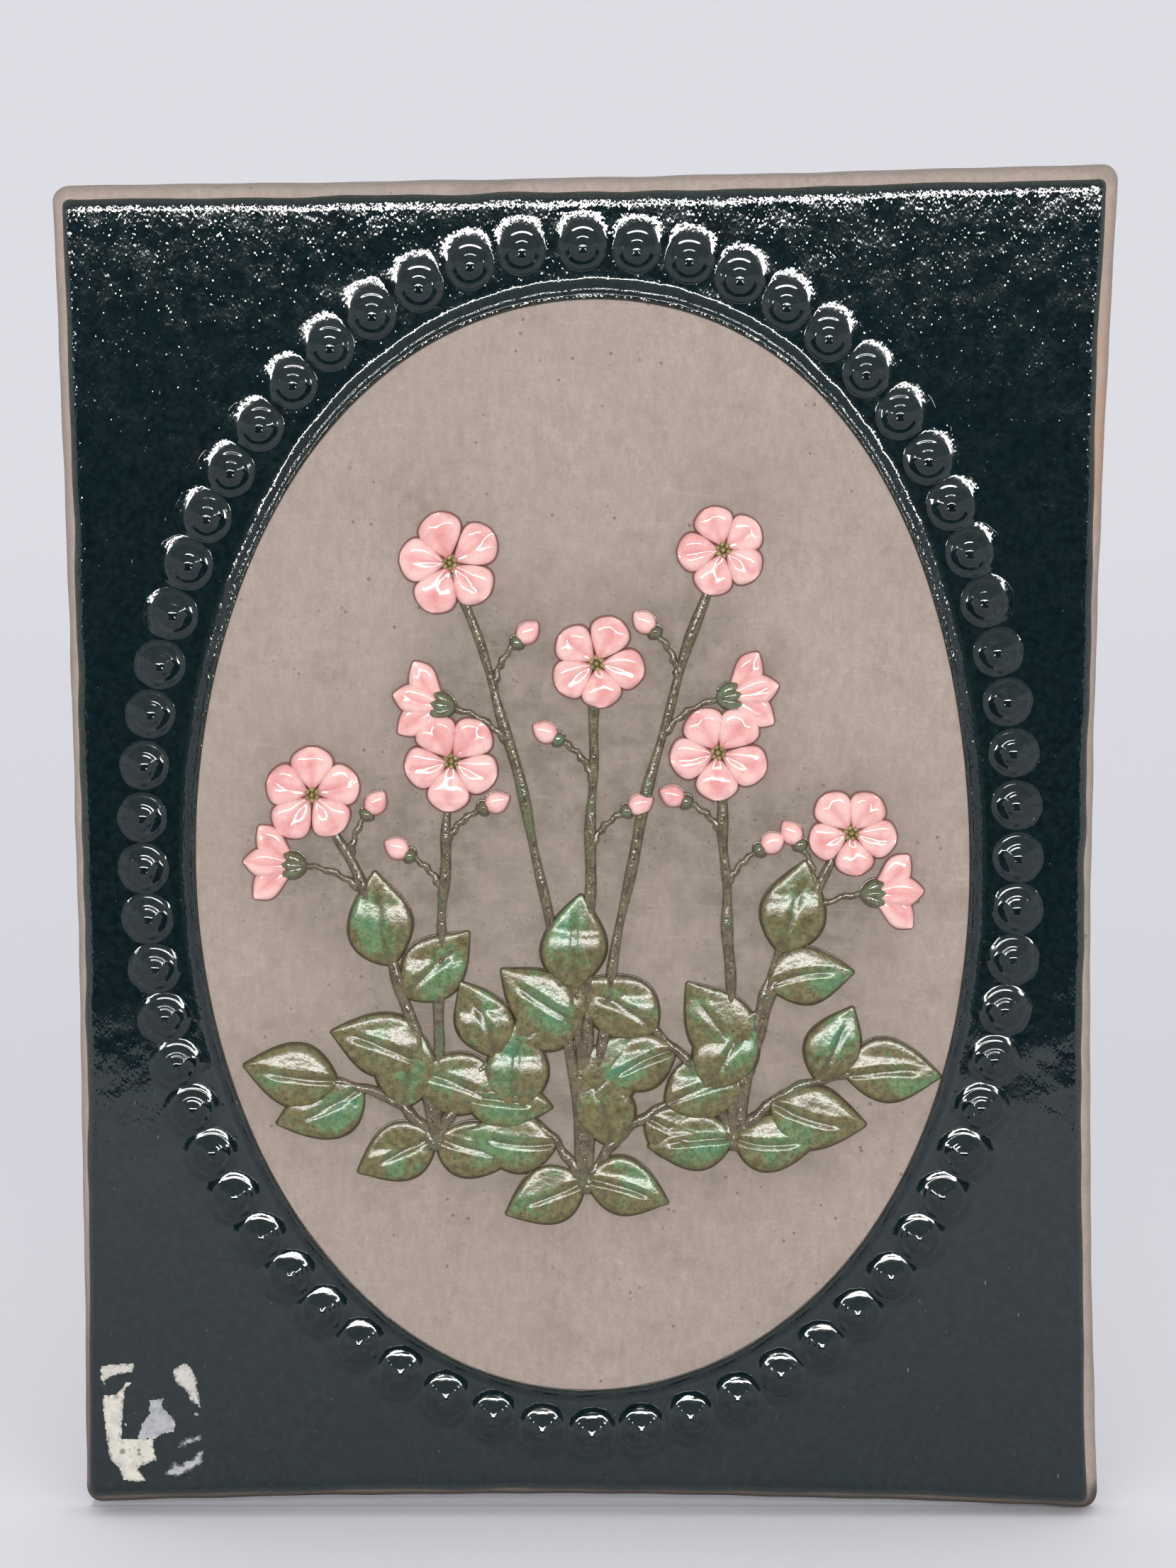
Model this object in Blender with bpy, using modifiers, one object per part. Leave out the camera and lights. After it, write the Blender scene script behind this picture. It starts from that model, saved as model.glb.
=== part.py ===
"""Glazed ceramic wall plaque: a hand-pressed slab with a beaded oval and a flower relief.

Metres, +Z up. The origin is the middle of the flat back, which lies against the wall in the
plane y = 0. The front faces -Y. The whole plaque is one fired piece.
"""
import math

import bpy
import bmesh
from mathutils import Vector

# The slab. Each side has its distance from the middle of the back, how much it leans along its
# length, and how far its ends bow out.
SIDE_SHAPE = {
    "right": (0.0805, 0.0002, 0.0026),
    "top": (0.1064, 0.0017, 0.0004),
    "left": (0.0809, 0.0013, 0.0010),
    "bottom": (0.1038, 0.0005, 0.0018),
}
HALF_WIDTH = 0.0805
HALF_HEIGHT = 0.1059
CORNER_RADIUS = 0.0026
CORNER_STEPS = 3
UPRIGHT_STEPS = 13
LEVEL_STEPS = 9
FRAME_DEPTH = 0.0080

# The slab's edge from the back to the frame: how far in, and how deep from the wall.
EDGE_PROFILE = (
    (0.0004, 0.0000),
    (0.0000, 0.0005),
    (0.0007, 0.0058),
    (0.0013, 0.0073),
    (0.0026, FRAME_DEPTH),
)

# The oval clay field, raised in two steps above the frame.
OVAL_CENTRE = Vector((0.0001, 0.0012))
OVAL_HALF_WIDTH = 0.0611
OVAL_HALF_HEIGHT = 0.0867
FIELD_HEIGHT = 0.0012
FIELD_DEPTH = FRAME_DEPTH + FIELD_HEIGHT

# The steps from the frame to the field: how far outside the field, and how high on the frame.
BAND_PROFILE = ((0.0028, 0.0000), (0.0023, 0.0006), (0.0007, 0.0007), (0.0000, FIELD_HEIGHT))

# Unevenness of the hand-made ovals: waves round them, their size, and where each crests.
OVAL_MEAN_RADIUS = 0.0720
FIELD_WAVES = (
    (3, 0.00050, math.radians(-162)),
    (4, 0.00056, math.radians(-160)),
    (5, 0.00020, math.radians(-120)),
)

# The ring of beads, spaced by eye: its own waves, and waves in the beads' angles round it.
BEADS = 64
RING_CENTRE = Vector((-0.0002, 0.0021))
RING_HALF_WIDTH = 0.0692
RING_HALF_HEIGHT = 0.0940
RING_WAVES = (
    (2, 0.00040, math.radians(-84)),
    (3, 0.00046, math.radians(-167)),
    (4, 0.00055, math.radians(-169)),
    (5, 0.00011, math.radians(-151)),
)
RING_SAG = 0.0016
RING_SAG_PLACE = 0.0030
RING_SAG_REACH = 0.0200
FIRST_BEAD_ANGLE = math.radians(90.2)
BEAD_STEP_ANGLE = math.radians(5.611)
BEAD_ANGLE_WAVES = (
    (1, math.radians(1.39), math.radians(-89)),
    (2, math.radians(4.62), math.radians(-88)),
    (3, math.radians(0.25), math.radians(-173)),
    (4, math.radians(0.76), math.radians(-86)),
)
BEAD_RADIUS = 0.0036
BEAD_RADIUS_SWELL = 0.0002
BEAD_HEIGHT = 0.0020
BEAD_SIDES = 8
BEAD_MESH_RADIUS = 0.001

# A bead's stepped side, from its top to its foot: parts of its radius and of its height.
BEAD_STEPS = ((0.00, 1.00), (0.56, 0.68), (0.90, 0.26), (1.00, -0.15))

# The relief lies on the field and reaches a little into it.
SINK = 0.0004

# The relief's leaves: clumps of stems with leaves along them, and two at each clump's foot.
CLUMPS = 3
CLUMP_SPACING = 0.0235
CLUMP_BASE = -0.0530
CLUMP_RISE = 0.0070
CLUMP_LEAN = math.radians(9)
LEAF_STEMS_PER_CLUMP = 3
MIDDLE_STEM_LENGTH = 0.0325
OUTER_STEM_LENGTH = 0.0230
STEM_LENGTH_STRAY = 0.10
LEAF_STEM_SPREAD = math.radians(49)
LEAF_STEM_STRAY = math.radians(5)
LEAF_STEM_START = 0.4
SIDE_LEAF_PARTS = (0.42, 0.76)
SIDE_LEAF_ANGLE = math.radians(56)
FOOT_LEAF_ANGLE = math.radians(104)
FOOT_LEAF_RISE = 0.0020
LEAF_STRAY = math.radians(8)
TIP_LEAF_PART = 0.92
LEAF_LENGTH = 0.0150
LEAF_WIDTH = 0.0102
LEAF_HEIGHT = 0.0014
LEAF_GROOVE = 0.25
LEAF_HEIGHT_STRAY = 0.25
TIP_LEAF_SIZE = 1.02
FOOT_LEAF_SIZE = 0.92
SIDE_LEAF_TAPER = 0.06
LEAF_SIZE_STRAY = 0.07

# The relief's blossoms: tall stems in a fan, every other one shorter, with cups and buds.
BLOSSOM_STEMS = 7
FAN_CENTRE = Vector((0.0, -0.0060))
FAN_HALF_WIDTH = 0.0425
FAN_HALF_HEIGHT = 0.0610
FAN_HALF_ANGLE = math.radians(78)
FAN_ANGLE_STRAY = math.radians(4)
FAN_INNER = 0.58
FAN_REACH_STRAY = 0.04
STEM_BEND_ACROSS = 0.25
STEM_BEND_UPWARD = 0.60
BLOSSOM_RADIUS = 0.0074
BLOSSOM_SIZE_STRAY = 0.06
BLOSSOM_TURN = 0.6
BLOSSOM_HEIGHT = 0.0020
BLOSSOM_NOTCH = 0.56
BLOSSOM_BROW = 0.86
BLOSSOM_EYE = 0.28
BLOSSOM_EYE_HEIGHT = 0.0012
PETALS = 5
PETAL_COLUMNS = 4
CUP_LENGTH = 0.0090
CUP_PETAL_WIDTH = 0.0048
CUP_SPREAD = math.radians(26)
CUP_HEIGHT = 0.0018
CUP_SIDE_HEIGHT = 0.00135
BUD_LENGTH = 0.0046
BUD_WIDTH = 0.0034
BUD_HEIGHT = 0.0013
STEM_SINK = 0.0001
STEM_RADIUS = 0.0009
STALK_RADIUS = 0.0006
STALK_ANGLE = math.radians(40)
STALK_START = 0.3
STALK_LENGTH = 0.0085
CUP_STALK_LENGTH = 0.0120
CUP_STALK_PART = 0.66
BUD_STALK_PART = 0.76
SHORT_STEM_BUD_PARTS = (0.60, 0.74)
BLOSSOM_STEM_STEPS = 8
LEAF_STEM_STEPS = 4
STALK_STEPS = 3

# A pad, such as a leaf or a petal: where its first and last cross-sections lie along it, their
# least width, how far out its shoulders are, and how many lengths it is made of.
PAD_START = 0.03
PAD_END = 0.97
PAD_LEAST = 0.08
PAD_SHOULDER = 0.6
PAD_STEPS = 4
BUD_STEPS = 3

# The blind slot in the back, which hangs on a nail.
SLOT_LENGTH = 0.0160
SLOT_HEIGHT = 0.0080
SLOT_DEPTH = 0.0050
SLOT_TOP = 0.0940
SLOT_END_STEPS = 6

# Points nearer than this are one point, where a curve's ends are closed.
WELD = 0.00001


def clear_scene():
    for item in list(bpy.data.objects):
        bpy.data.objects.remove(item, do_unlink=True)


def make_material(name, colour, roughness):
    material = bpy.data.materials.new(name)
    material.use_nodes = True
    shader = material.node_tree.nodes["Principled BSDF"]
    shader.inputs["Base Color"].default_value = (*colour, 1.0)
    shader.inputs["Roughness"].default_value = roughness
    shader.inputs["Metallic"].default_value = 0.0
    return material


def dark_glaze():
    return make_material("dark_glaze", (0.020, 0.035, 0.038), 0.12)


def leaf_glaze():
    return make_material("leaf_glaze", (0.080, 0.130, 0.070), 0.15)


def stem_glaze():
    return make_material("stem_glaze", (0.085, 0.070, 0.035), 0.20)


def blossom_glaze():
    return make_material("blossom_glaze", (0.520, 0.270, 0.260), 0.15)


def make_collection(name):
    collection = bpy.data.collections.new(name)
    bpy.context.scene.collection.children.link(collection)
    return collection


def add_form(name, mesh, collection, material=None):
    """Add an object that only shapes the plaque, by joining it or cutting it."""
    form = bpy.data.objects.new(name, mesh)
    collection.objects.link(form)
    form.hide_render = True
    form.display_type = "WIRE"
    if material is not None and not mesh.materials:
        mesh.materials.append(material)
    return form


def loft_mesh(name, rings):
    """Return a closed mesh through rings of equal count, with a flat face at either end."""
    shape = bmesh.new()
    rows = [[shape.verts.new(point) for point in ring] for ring in rings]
    count = len(rows[0])
    for row, following in zip(rows, rows[1:]):
        for i in range(count):
            j = (i + 1) % count
            shape.faces.new((row[i], row[j], following[j], following[i]))
    shape.faces.new(rows[0])
    shape.faces.new(rows[-1])
    bmesh.ops.recalc_face_normals(shape, faces=shape.faces)
    mesh = bpy.data.meshes.new(name)
    shape.to_mesh(mesh)
    shape.free()
    return mesh


def sway(seed):
    """Return a repeatable value from -1 to 1, for the unevenness of hand-made work."""
    return math.sin(seed * 12.9898 + math.sin(seed * 4.1414) * 3.0)


def side_distance(side, part):
    """Return how far a side of the slab is from the middle, at a part of it from -1 to 1."""
    distance, lean, bow = SIDE_SHAPE[side]
    return distance + lean * part + bow * part * part


def lean_point(point):
    """Move a point of the true rectangle to its place on the uneven slab."""
    across = point.x / HALF_WIDTH
    upward = point.y / HALF_HEIGHT
    width = side_distance("right" if across > 0 else "left", upward)
    height = side_distance("top" if upward > 0 else "bottom", across)
    return Vector((across * width, upward * height))


def corner_arc(right, top, start_angle, inset):
    """Return the points of one rounded corner, anticlockwise."""
    across = HALF_WIDTH - inset - CORNER_RADIUS
    upward = HALF_HEIGHT - inset - CORNER_RADIUS
    centre = Vector((right * across, top * upward))
    points = []
    for step in range(CORNER_STEPS + 1):
        angle = start_angle + math.pi / 2 * step / CORNER_STEPS
        points.append(centre + CORNER_RADIUS * Vector((math.cos(angle), math.sin(angle))))
    return points


def slab_outline(inset):
    """Return the slab's outline drawn in by an inset, anticlockwise from the lower right corner."""
    corners = ((1, -1), (1, 1), (-1, 1), (-1, -1))
    arcs = []
    for n, (right, top) in enumerate(corners):
        arcs.append(corner_arc(right, top, (n - 1) * math.pi / 2, inset))
    points = []
    for n, arc in enumerate(arcs):
        points += arc
        following = arcs[(n + 1) % len(arcs)]
        steps = UPRIGHT_STEPS if n % 2 == 0 else LEVEL_STEPS
        points += [arc[-1].lerp(following[0], step / steps) for step in range(1, steps)]
    return [lean_point(point) for point in points]


def wave_sum(waves, angle):
    """Return the sum of waves, each a count round the oval, a size and the angle of its crest."""
    return sum(size * math.cos(count * angle - crest) for count, size, crest in waves)


def oval_point(centre, half_width, half_height, waves, angle):
    """Return a point of a hand-made oval, at an angle from the right, anticlockwise."""
    swell = 1.0 + wave_sum(waves, angle) / OVAL_MEAN_RADIUS
    return centre + swell * Vector((half_width * math.cos(angle), half_height * math.sin(angle)))


def field_point(margin, angle):
    """Return a point of the field's outline widened by a margin."""
    half_width = OVAL_HALF_WIDTH + margin
    half_height = OVAL_HALF_HEIGHT + margin
    return oval_point(OVAL_CENTRE, half_width, half_height, FIELD_WAVES, angle)


def field_outline(margin, count):
    """Return the field's outline widened by a margin, in step with the slab's outline."""
    points = []
    for i in range(count):
        angle = 2 * math.pi * (i - CORNER_STEPS / 2) / count - math.pi / 4
        points.append(field_point(margin, angle))
    return points


def at_depth(points, depth):
    """Stand flat points up as a ring at a depth in front of the wall."""
    return [Vector((point.x, -depth, point.y)) for point in points]


def make_slab():
    """Return the slab with its rounded edge and the raised oval field, without its relief."""
    rings = [at_depth(slab_outline(inset), depth) for inset, depth in EDGE_PROFILE]
    count = len(rings[0])
    for margin, height in BAND_PROFILE:
        rings.append(at_depth(field_outline(margin, count), FRAME_DEPTH + height))
    return loft_mesh("slab", rings)


def bead_angles():
    """Return the beads' places round the ring, clockwise from the top."""
    angles = []
    for number in range(BEADS):
        stray = wave_sum(BEAD_ANGLE_WAVES, 2 * math.pi * number / BEADS)
        angles.append(FIRST_BEAD_ANGLE - number * BEAD_STEP_ANGLE + stray)
    return angles


def bead_mesh(collection):
    """Return the mesh of one small bead, turned from its stepped side, to be widened."""
    profile = bpy.data.meshes.new("bead_profile")
    corners = []
    for part, height in BEAD_STEPS:
        corners.append((part * BEAD_MESH_RADIUS, 0.0, height * BEAD_HEIGHT))
    corners.append((0.0, 0.0, BEAD_STEPS[-1][1] * BEAD_HEIGHT))
    profile.from_pydata(corners, [(i, i + 1) for i in range(len(corners) - 1)], [])
    guide = add_form("bead_guide", profile, collection)
    turn = guide.modifiers.new("turn", "SCREW")
    turn.steps = BEAD_SIDES
    turn.render_steps = BEAD_SIDES
    turn.use_merge_vertices = True
    turn.merge_threshold = WELD
    bpy.context.view_layer.update()
    mesh = bpy.data.meshes.new_from_object(guide.evaluated_get(bpy.context.evaluated_depsgraph_get()))
    bpy.data.objects.remove(guide, do_unlink=True)
    mesh.name = "bead"
    return mesh


def bead_place(angle):
    """Return a bead's place on the ring, which sags a little at its foot."""
    place = oval_point(RING_CENTRE, RING_HALF_WIDTH, RING_HALF_HEIGHT, RING_WAVES, angle)
    if place.y > RING_CENTRE.y:
        return place
    sag = RING_SAG * math.exp(-((place.x - RING_SAG_PLACE) / RING_SAG_REACH) ** 2)
    return Vector((place.x, place.y - sag))


def add_beads(collection, material):
    mesh = bead_mesh(collection)
    mesh.materials.append(material)
    for number, angle in enumerate(bead_angles()):
        place = bead_place(angle)
        bead = add_form(f"bead_{number}", mesh, collection)
        bead.location = (place.x, -FRAME_DEPTH, place.y)
        bead.rotation_euler = (math.pi / 2, 0.0, 0.0)
        width = (BEAD_RADIUS + BEAD_RADIUS_SWELL * math.sin(angle)) / BEAD_MESH_RADIUS
        bead.scale = (width, width, 1.0)


def offset(point, heading, distance):
    """Return the point a distance away, with the heading turned from straight up to the right."""
    return point + distance * Vector((math.sin(heading), math.cos(heading)))


def stem_point(stem, part):
    """Return a point of a stem, which bends once between its foot and its tip."""
    foot, bend, tip = stem
    return foot.lerp(bend, part).lerp(bend.lerp(tip, part), part)


def stem_heading(stem, part):
    """Return the heading of a stem at a part of its length."""
    foot, bend, tip = stem
    run = (bend - foot).lerp(tip - bend, part)
    return math.atan2(run.x, run.y)


def clump_foot(clump):
    row = clump - (CLUMPS - 1) / 2
    return Vector((row * CLUMP_SPACING, CLUMP_BASE + CLUMP_RISE * abs(row)))


def leaf_stems():
    """Return the leafy stems, a fan from each clump's foot."""
    stems = []
    for clump in range(CLUMPS):
        foot = clump_foot(clump)
        for k in range(LEAF_STEMS_PER_CLUMP):
            seed = clump * LEAF_STEMS_PER_CLUMP + k
            heading = (clump - 1) * CLUMP_LEAN + (k - 1) * LEAF_STEM_SPREAD + LEAF_STEM_STRAY * sway(seed)
            length = MIDDLE_STEM_LENGTH if k == 1 else OUTER_STEM_LENGTH
            length *= 1.0 + STEM_LENGTH_STRAY * sway(seed + 20)
            bend = offset(foot, heading * LEAF_STEM_START, length / 2)
            stems.append((foot, bend, offset(foot, heading, length)))
    return stems


def blossom_stems():
    """Return the blossoms' stems, a wide fan from the clumps' feet."""
    stems = []
    for i in range(BLOSSOM_STEMS):
        foot = clump_foot(round(i * (CLUMPS - 1) / (BLOSSOM_STEMS - 1)))
        angle = FAN_HALF_ANGLE * (2 * i / (BLOSSOM_STEMS - 1) - 1) + FAN_ANGLE_STRAY * sway(i + 3)
        reach = (1.0 if i % 2 == 0 else FAN_INNER) + FAN_REACH_STRAY * sway(i + 50)
        spread = Vector((FAN_HALF_WIDTH * math.sin(angle), FAN_HALF_HEIGHT * math.cos(angle)))
        tip = FAN_CENTRE + reach * spread
        run = tip - foot
        bend = foot + Vector((run.x * STEM_BEND_ACROSS, run.y * STEM_BEND_UPWARD))
        stems.append((foot, bend, tip))
    return stems


def stalk(stem, part, side, length):
    """Return a short side stalk that leaves a stem and curves away from it."""
    foot = stem_point(stem, part)
    heading = stem_heading(stem, part)
    bend = offset(foot, heading + side * STALK_ANGLE * STALK_START, length / 2)
    return foot, bend, offset(foot, heading + side * STALK_ANGLE, length)


def outward(number):
    """Return the side, -1 or 1, to which a blossom's stem leans."""
    return -1 if number < BLOSSOM_STEMS // 2 else 1


def cup_stalks():
    """Return the side stalks that carry a cup, one on each tall stem."""
    stalks = []
    for i, stem in enumerate(blossom_stems()):
        if i % 2 == 0:
            stalks.append(stalk(stem, CUP_STALK_PART, outward(i), CUP_STALK_LENGTH))
    return stalks


def bud_stalks():
    """Return the side stalks that carry a bud, one on each tall stem and two on each short one."""
    stalks = []
    for i, stem in enumerate(blossom_stems()):
        if i % 2 == 0:
            stalks.append(stalk(stem, BUD_STALK_PART, -outward(i), STALK_LENGTH))
        else:
            for part, side in zip(SHORT_STEM_BUD_PARTS, (1, -1)):
                stalks.append(stalk(stem, part, side * outward(i), STALK_LENGTH))
    return stalks


def leaf_places():
    """Return each leaf's foot, heading and size."""
    leaves = []
    for n, stem in enumerate(leaf_stems()):
        for j, part in enumerate(SIDE_LEAF_PARTS):
            side = 1 if (n + j) % 2 == 0 else -1
            heading = stem_heading(stem, part) + side * (SIDE_LEAF_ANGLE + LEAF_STRAY * sway(n * 5 + j))
            size = 1.0 - SIDE_LEAF_TAPER * j + LEAF_SIZE_STRAY * sway(n * 7 + j + 2)
            leaves.append((stem_point(stem, part), heading, size))
        leaves.append((stem_point(stem, TIP_LEAF_PART), stem_heading(stem, TIP_LEAF_PART), TIP_LEAF_SIZE))
    for clump in range(CLUMPS):
        for side in (-1, 1):
            heading = side * (FOOT_LEAF_ANGLE + LEAF_STRAY * sway(clump * 2 + side + 30))
            leaves.append((offset(clump_foot(clump), 0.0, FOOT_LEAF_RISE), heading, FOOT_LEAF_SIZE))
    return leaves


def leaf_width(part):
    """Return a pointed leaf's width at a part of its length, at most 1."""
    return math.sin(math.pi * part ** 0.8)


def petal_width(part):
    """Return a petal's width at a part of its length, broad towards its end."""
    return math.sin(math.pi * part ** 1.6) * 0.8 + 0.2 * math.sqrt(1.0 - part)


def bud_width(part):
    """Return a bud's width at a part of its length, at most 1."""
    return math.sin(math.pi * part)


def pad_mesh(name, foot, heading, length, width, height, outline, groove=0.0, steps=PAD_STEPS):
    """Return a pillow that lies on the field, such as a leaf, with a groove along its middle."""
    side = heading + math.pi / 2
    rings = []
    for i in range(steps + 1):
        part = PAD_START + (PAD_END - PAD_START) * i / steps
        middle = offset(foot, heading, length * part)
        share = max(outline(part), PAD_LEAST)
        half = width / 2 * share
        rise = height * math.sqrt(share)
        across = (-half, -PAD_SHOULDER * half, 0.0, PAD_SHOULDER * half, half)
        upward = (-SINK, rise, rise - groove, rise, -SINK)
        flat = [offset(middle, side, reach) for reach in across]
        rings.append([Vector((p.x, -FIELD_DEPTH - up, p.y)) for p, up in zip(flat, upward)])
    return loft_mesh(name, rings)


def add_leaves(collection, material):
    for number, (foot, heading, size) in enumerate(leaf_places()):
        height = LEAF_HEIGHT * (1.0 + LEAF_HEIGHT_STRAY * sway(number * 3 + 1))
        mesh = pad_mesh(f"leaf_{number}", foot, heading, LEAF_LENGTH * size, LEAF_WIDTH * size,
                        height, leaf_width, groove=height * LEAF_GROOVE)
        add_form(mesh.name, mesh, collection, material)


def blossom_radius(angle):
    """Return how far a blossom's edge reaches at an angle, deep between its petals."""
    return BLOSSOM_NOTCH + (1.0 - BLOSSOM_NOTCH) * math.sqrt(abs(math.cos(angle * PETALS / 2)))


def blossom_mesh(name, centre, radius, turn):
    """Return an open five-petalled blossom, seen from the front, hollow towards its eye."""
    columns = PETALS * PETAL_COLUMNS
    steps = ((1.0, -SINK), (BLOSSOM_BROW, BLOSSOM_HEIGHT), (BLOSSOM_EYE, BLOSSOM_EYE_HEIGHT))
    rings = []
    for reach, height in steps:
        ring = []
        for i in range(columns):
            angle = 2 * math.pi * i / columns
            edge = 1.0 if reach == BLOSSOM_EYE else blossom_radius(angle)
            point = offset(centre, angle + turn, radius * reach * edge)
            ring.append(Vector((point.x, -FIELD_DEPTH - height, point.y)))
        rings.append(ring)
    return loft_mesh(name, rings)


def add_blossoms(collection, material):
    for i, stem in enumerate(blossom_stems()):
        radius = BLOSSOM_RADIUS * (1.0 + BLOSSOM_SIZE_STRAY * sway(i + 9))
        mesh = blossom_mesh(f"blossom_{i}", stem[2], radius, BLOSSOM_TURN * sway(i))
        add_form(mesh.name, mesh, collection, material)


def add_cups(collection, material):
    """Add the half-open blossoms seen from the side, each of three overlapping petals."""
    for i, stem in enumerate(cup_stalks()):
        heading = stem_heading(stem, 1.0)
        for petal in (-1, 1, 0):
            height = CUP_HEIGHT if petal == 0 else CUP_SIDE_HEIGHT
            mesh = pad_mesh(f"cup_{i}_petal_{petal + 1}", stem[2], heading + petal * CUP_SPREAD,
                            CUP_LENGTH, CUP_PETAL_WIDTH, height, petal_width)
            add_form(mesh.name, mesh, collection, material)


def add_buds(collection, material):
    for i, stem in enumerate(bud_stalks()):
        mesh = pad_mesh(f"bud_{i}", stem[2], stem_heading(stem, 1.0), BUD_LENGTH, BUD_WIDTH,
                        BUD_HEIGHT, bud_width, steps=BUD_STEPS)
        add_form(mesh.name, mesh, collection, material)


def curve_mesh(guide):
    """Return the closed mesh of a curve object, and remove the curve."""
    bpy.context.view_layer.update()
    mesh = bpy.data.meshes.new_from_object(guide.evaluated_get(bpy.context.evaluated_depsgraph_get()))
    shape = bmesh.new()
    shape.from_mesh(mesh)
    bmesh.ops.remove_doubles(shape, verts=shape.verts, dist=WELD)
    bmesh.ops.recalc_face_normals(shape, faces=shape.faces)
    shape.to_mesh(mesh)
    shape.free()
    bpy.data.objects.remove(guide, do_unlink=True)
    return mesh


def add_stem(name, stem, radius, steps, collection, material):
    """Add a round stem half sunk in the field, as a mesh made from a curve."""
    curve = bpy.data.curves.new(name, "CURVE")
    curve.dimensions = "3D"
    curve.bevel_depth = radius
    curve.bevel_resolution = 0
    curve.use_fill_caps = True
    spline = curve.splines.new("POLY")
    spline.points.add(steps)
    for i, point in enumerate(spline.points):
        place = stem_point(stem, i / steps)
        point.co = (place.x, -FIELD_DEPTH + STEM_SINK, place.y, 1.0)
    rail = bpy.data.objects.new(name, curve)
    collection.objects.link(rail)
    add_form(name, curve_mesh(rail), collection, material)


def add_stems(collection, material):
    for i, stem in enumerate(blossom_stems()):
        add_stem(f"blossom_stem_{i}", stem, STEM_RADIUS, BLOSSOM_STEM_STEPS, collection, material)
    for i, stem in enumerate(leaf_stems()):
        add_stem(f"leaf_stem_{i}", stem, STEM_RADIUS, LEAF_STEM_STEPS, collection, material)
    for i, stem in enumerate(cup_stalks() + bud_stalks()):
        add_stem(f"stalk_{i}", stem, STALK_RADIUS, STALK_STEPS, collection, material)


def add_slot_cutter(collection):
    """Add the cutter for the hanging slot, a bar with round ends."""
    outline = bpy.data.curves.new("hanging_slot", "CURVE")
    outline.dimensions = "2D"
    outline.fill_mode = "BOTH"
    outline.extrude = SLOT_DEPTH
    radius = SLOT_HEIGHT / 2
    reach = SLOT_LENGTH / 2 - radius
    spline = outline.splines.new("POLY")
    spline.points.add(2 * SLOT_END_STEPS + 1)
    spline.use_cyclic_u = True
    for i, point in enumerate(spline.points):
        side = 1 if i <= SLOT_END_STEPS else -1
        turn = i if side > 0 else i - 1
        angle = math.pi * turn / SLOT_END_STEPS - math.pi / 2
        point.co = (side * reach + radius * math.cos(angle), radius * math.sin(angle), 0.0, 1.0)
    guide = bpy.data.objects.new("hanging_slot", outline)
    guide.location = (0.0, 0.0, SLOT_TOP - radius)
    guide.rotation_euler = (math.pi / 2, 0.0, 0.0)
    collection.objects.link(guide)
    bpy.context.view_layer.update()
    place = guide.matrix_world.copy()
    cutter = add_form("hanging_slot", curve_mesh(guide), collection)
    cutter.matrix_world = place
    return cutter


def make_plaque():
    parts = make_collection("wall_plaque")
    forms = make_collection("relief_forms")
    cutters = make_collection("cutters")
    glaze = dark_glaze()
    pink = blossom_glaze()
    add_beads(forms, glaze)
    add_stems(forms, stem_glaze())
    add_leaves(forms, leaf_glaze())
    add_blossoms(forms, pink)
    add_cups(forms, pink)
    add_buds(forms, pink)
    cutter = add_slot_cutter(cutters)

    slab = make_slab()
    slab.materials.append(glaze)
    plaque = bpy.data.objects.new("plaque", slab)
    parts.objects.link(plaque)
    relief = plaque.modifiers.new("relief", "BOOLEAN")
    relief.operation = "UNION"
    relief.operand_type = "COLLECTION"
    relief.collection = forms
    relief.solver = "EXACT"
    relief.material_mode = "TRANSFER"
    hanging = plaque.modifiers.new("hanging", "BOOLEAN")
    hanging.operation = "DIFFERENCE"
    hanging.object = cutter
    hanging.solver = "EXACT"
    return plaque


clear_scene()
make_plaque()
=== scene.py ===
"""Looks of the glazed ceramic wall plaque: glaze, beads, bare clay and the flower relief.

Metres, +Z up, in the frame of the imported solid: the back lies in the plane y = 0, the front
faces -Y. A flat place on the front is given as across (x) and upward (z), and a height on it
is counted out from the frame's ground, which lies FRAME_DEPTH in front of the wall.
"""
import math

import bmesh
import bpy
import numpy as np
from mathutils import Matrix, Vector


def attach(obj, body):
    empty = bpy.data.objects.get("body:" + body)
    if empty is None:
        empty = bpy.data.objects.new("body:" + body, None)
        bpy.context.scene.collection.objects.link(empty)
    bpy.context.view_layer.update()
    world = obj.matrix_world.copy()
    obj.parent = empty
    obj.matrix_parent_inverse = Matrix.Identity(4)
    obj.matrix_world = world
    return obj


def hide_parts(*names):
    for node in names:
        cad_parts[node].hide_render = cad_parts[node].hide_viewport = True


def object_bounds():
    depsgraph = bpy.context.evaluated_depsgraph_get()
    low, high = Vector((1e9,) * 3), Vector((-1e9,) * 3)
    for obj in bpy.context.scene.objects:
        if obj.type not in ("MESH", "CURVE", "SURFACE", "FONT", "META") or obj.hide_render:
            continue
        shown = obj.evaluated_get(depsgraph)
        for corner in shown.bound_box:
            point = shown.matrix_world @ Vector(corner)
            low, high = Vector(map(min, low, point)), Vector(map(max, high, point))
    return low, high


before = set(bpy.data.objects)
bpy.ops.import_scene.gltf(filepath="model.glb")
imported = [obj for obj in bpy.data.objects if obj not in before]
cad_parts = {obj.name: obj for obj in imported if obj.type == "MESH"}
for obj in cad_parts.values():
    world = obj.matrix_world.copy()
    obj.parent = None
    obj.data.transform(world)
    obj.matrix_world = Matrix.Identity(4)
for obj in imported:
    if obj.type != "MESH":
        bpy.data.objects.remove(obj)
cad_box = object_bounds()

BODY = "root"
NODE = "plaque"

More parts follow.
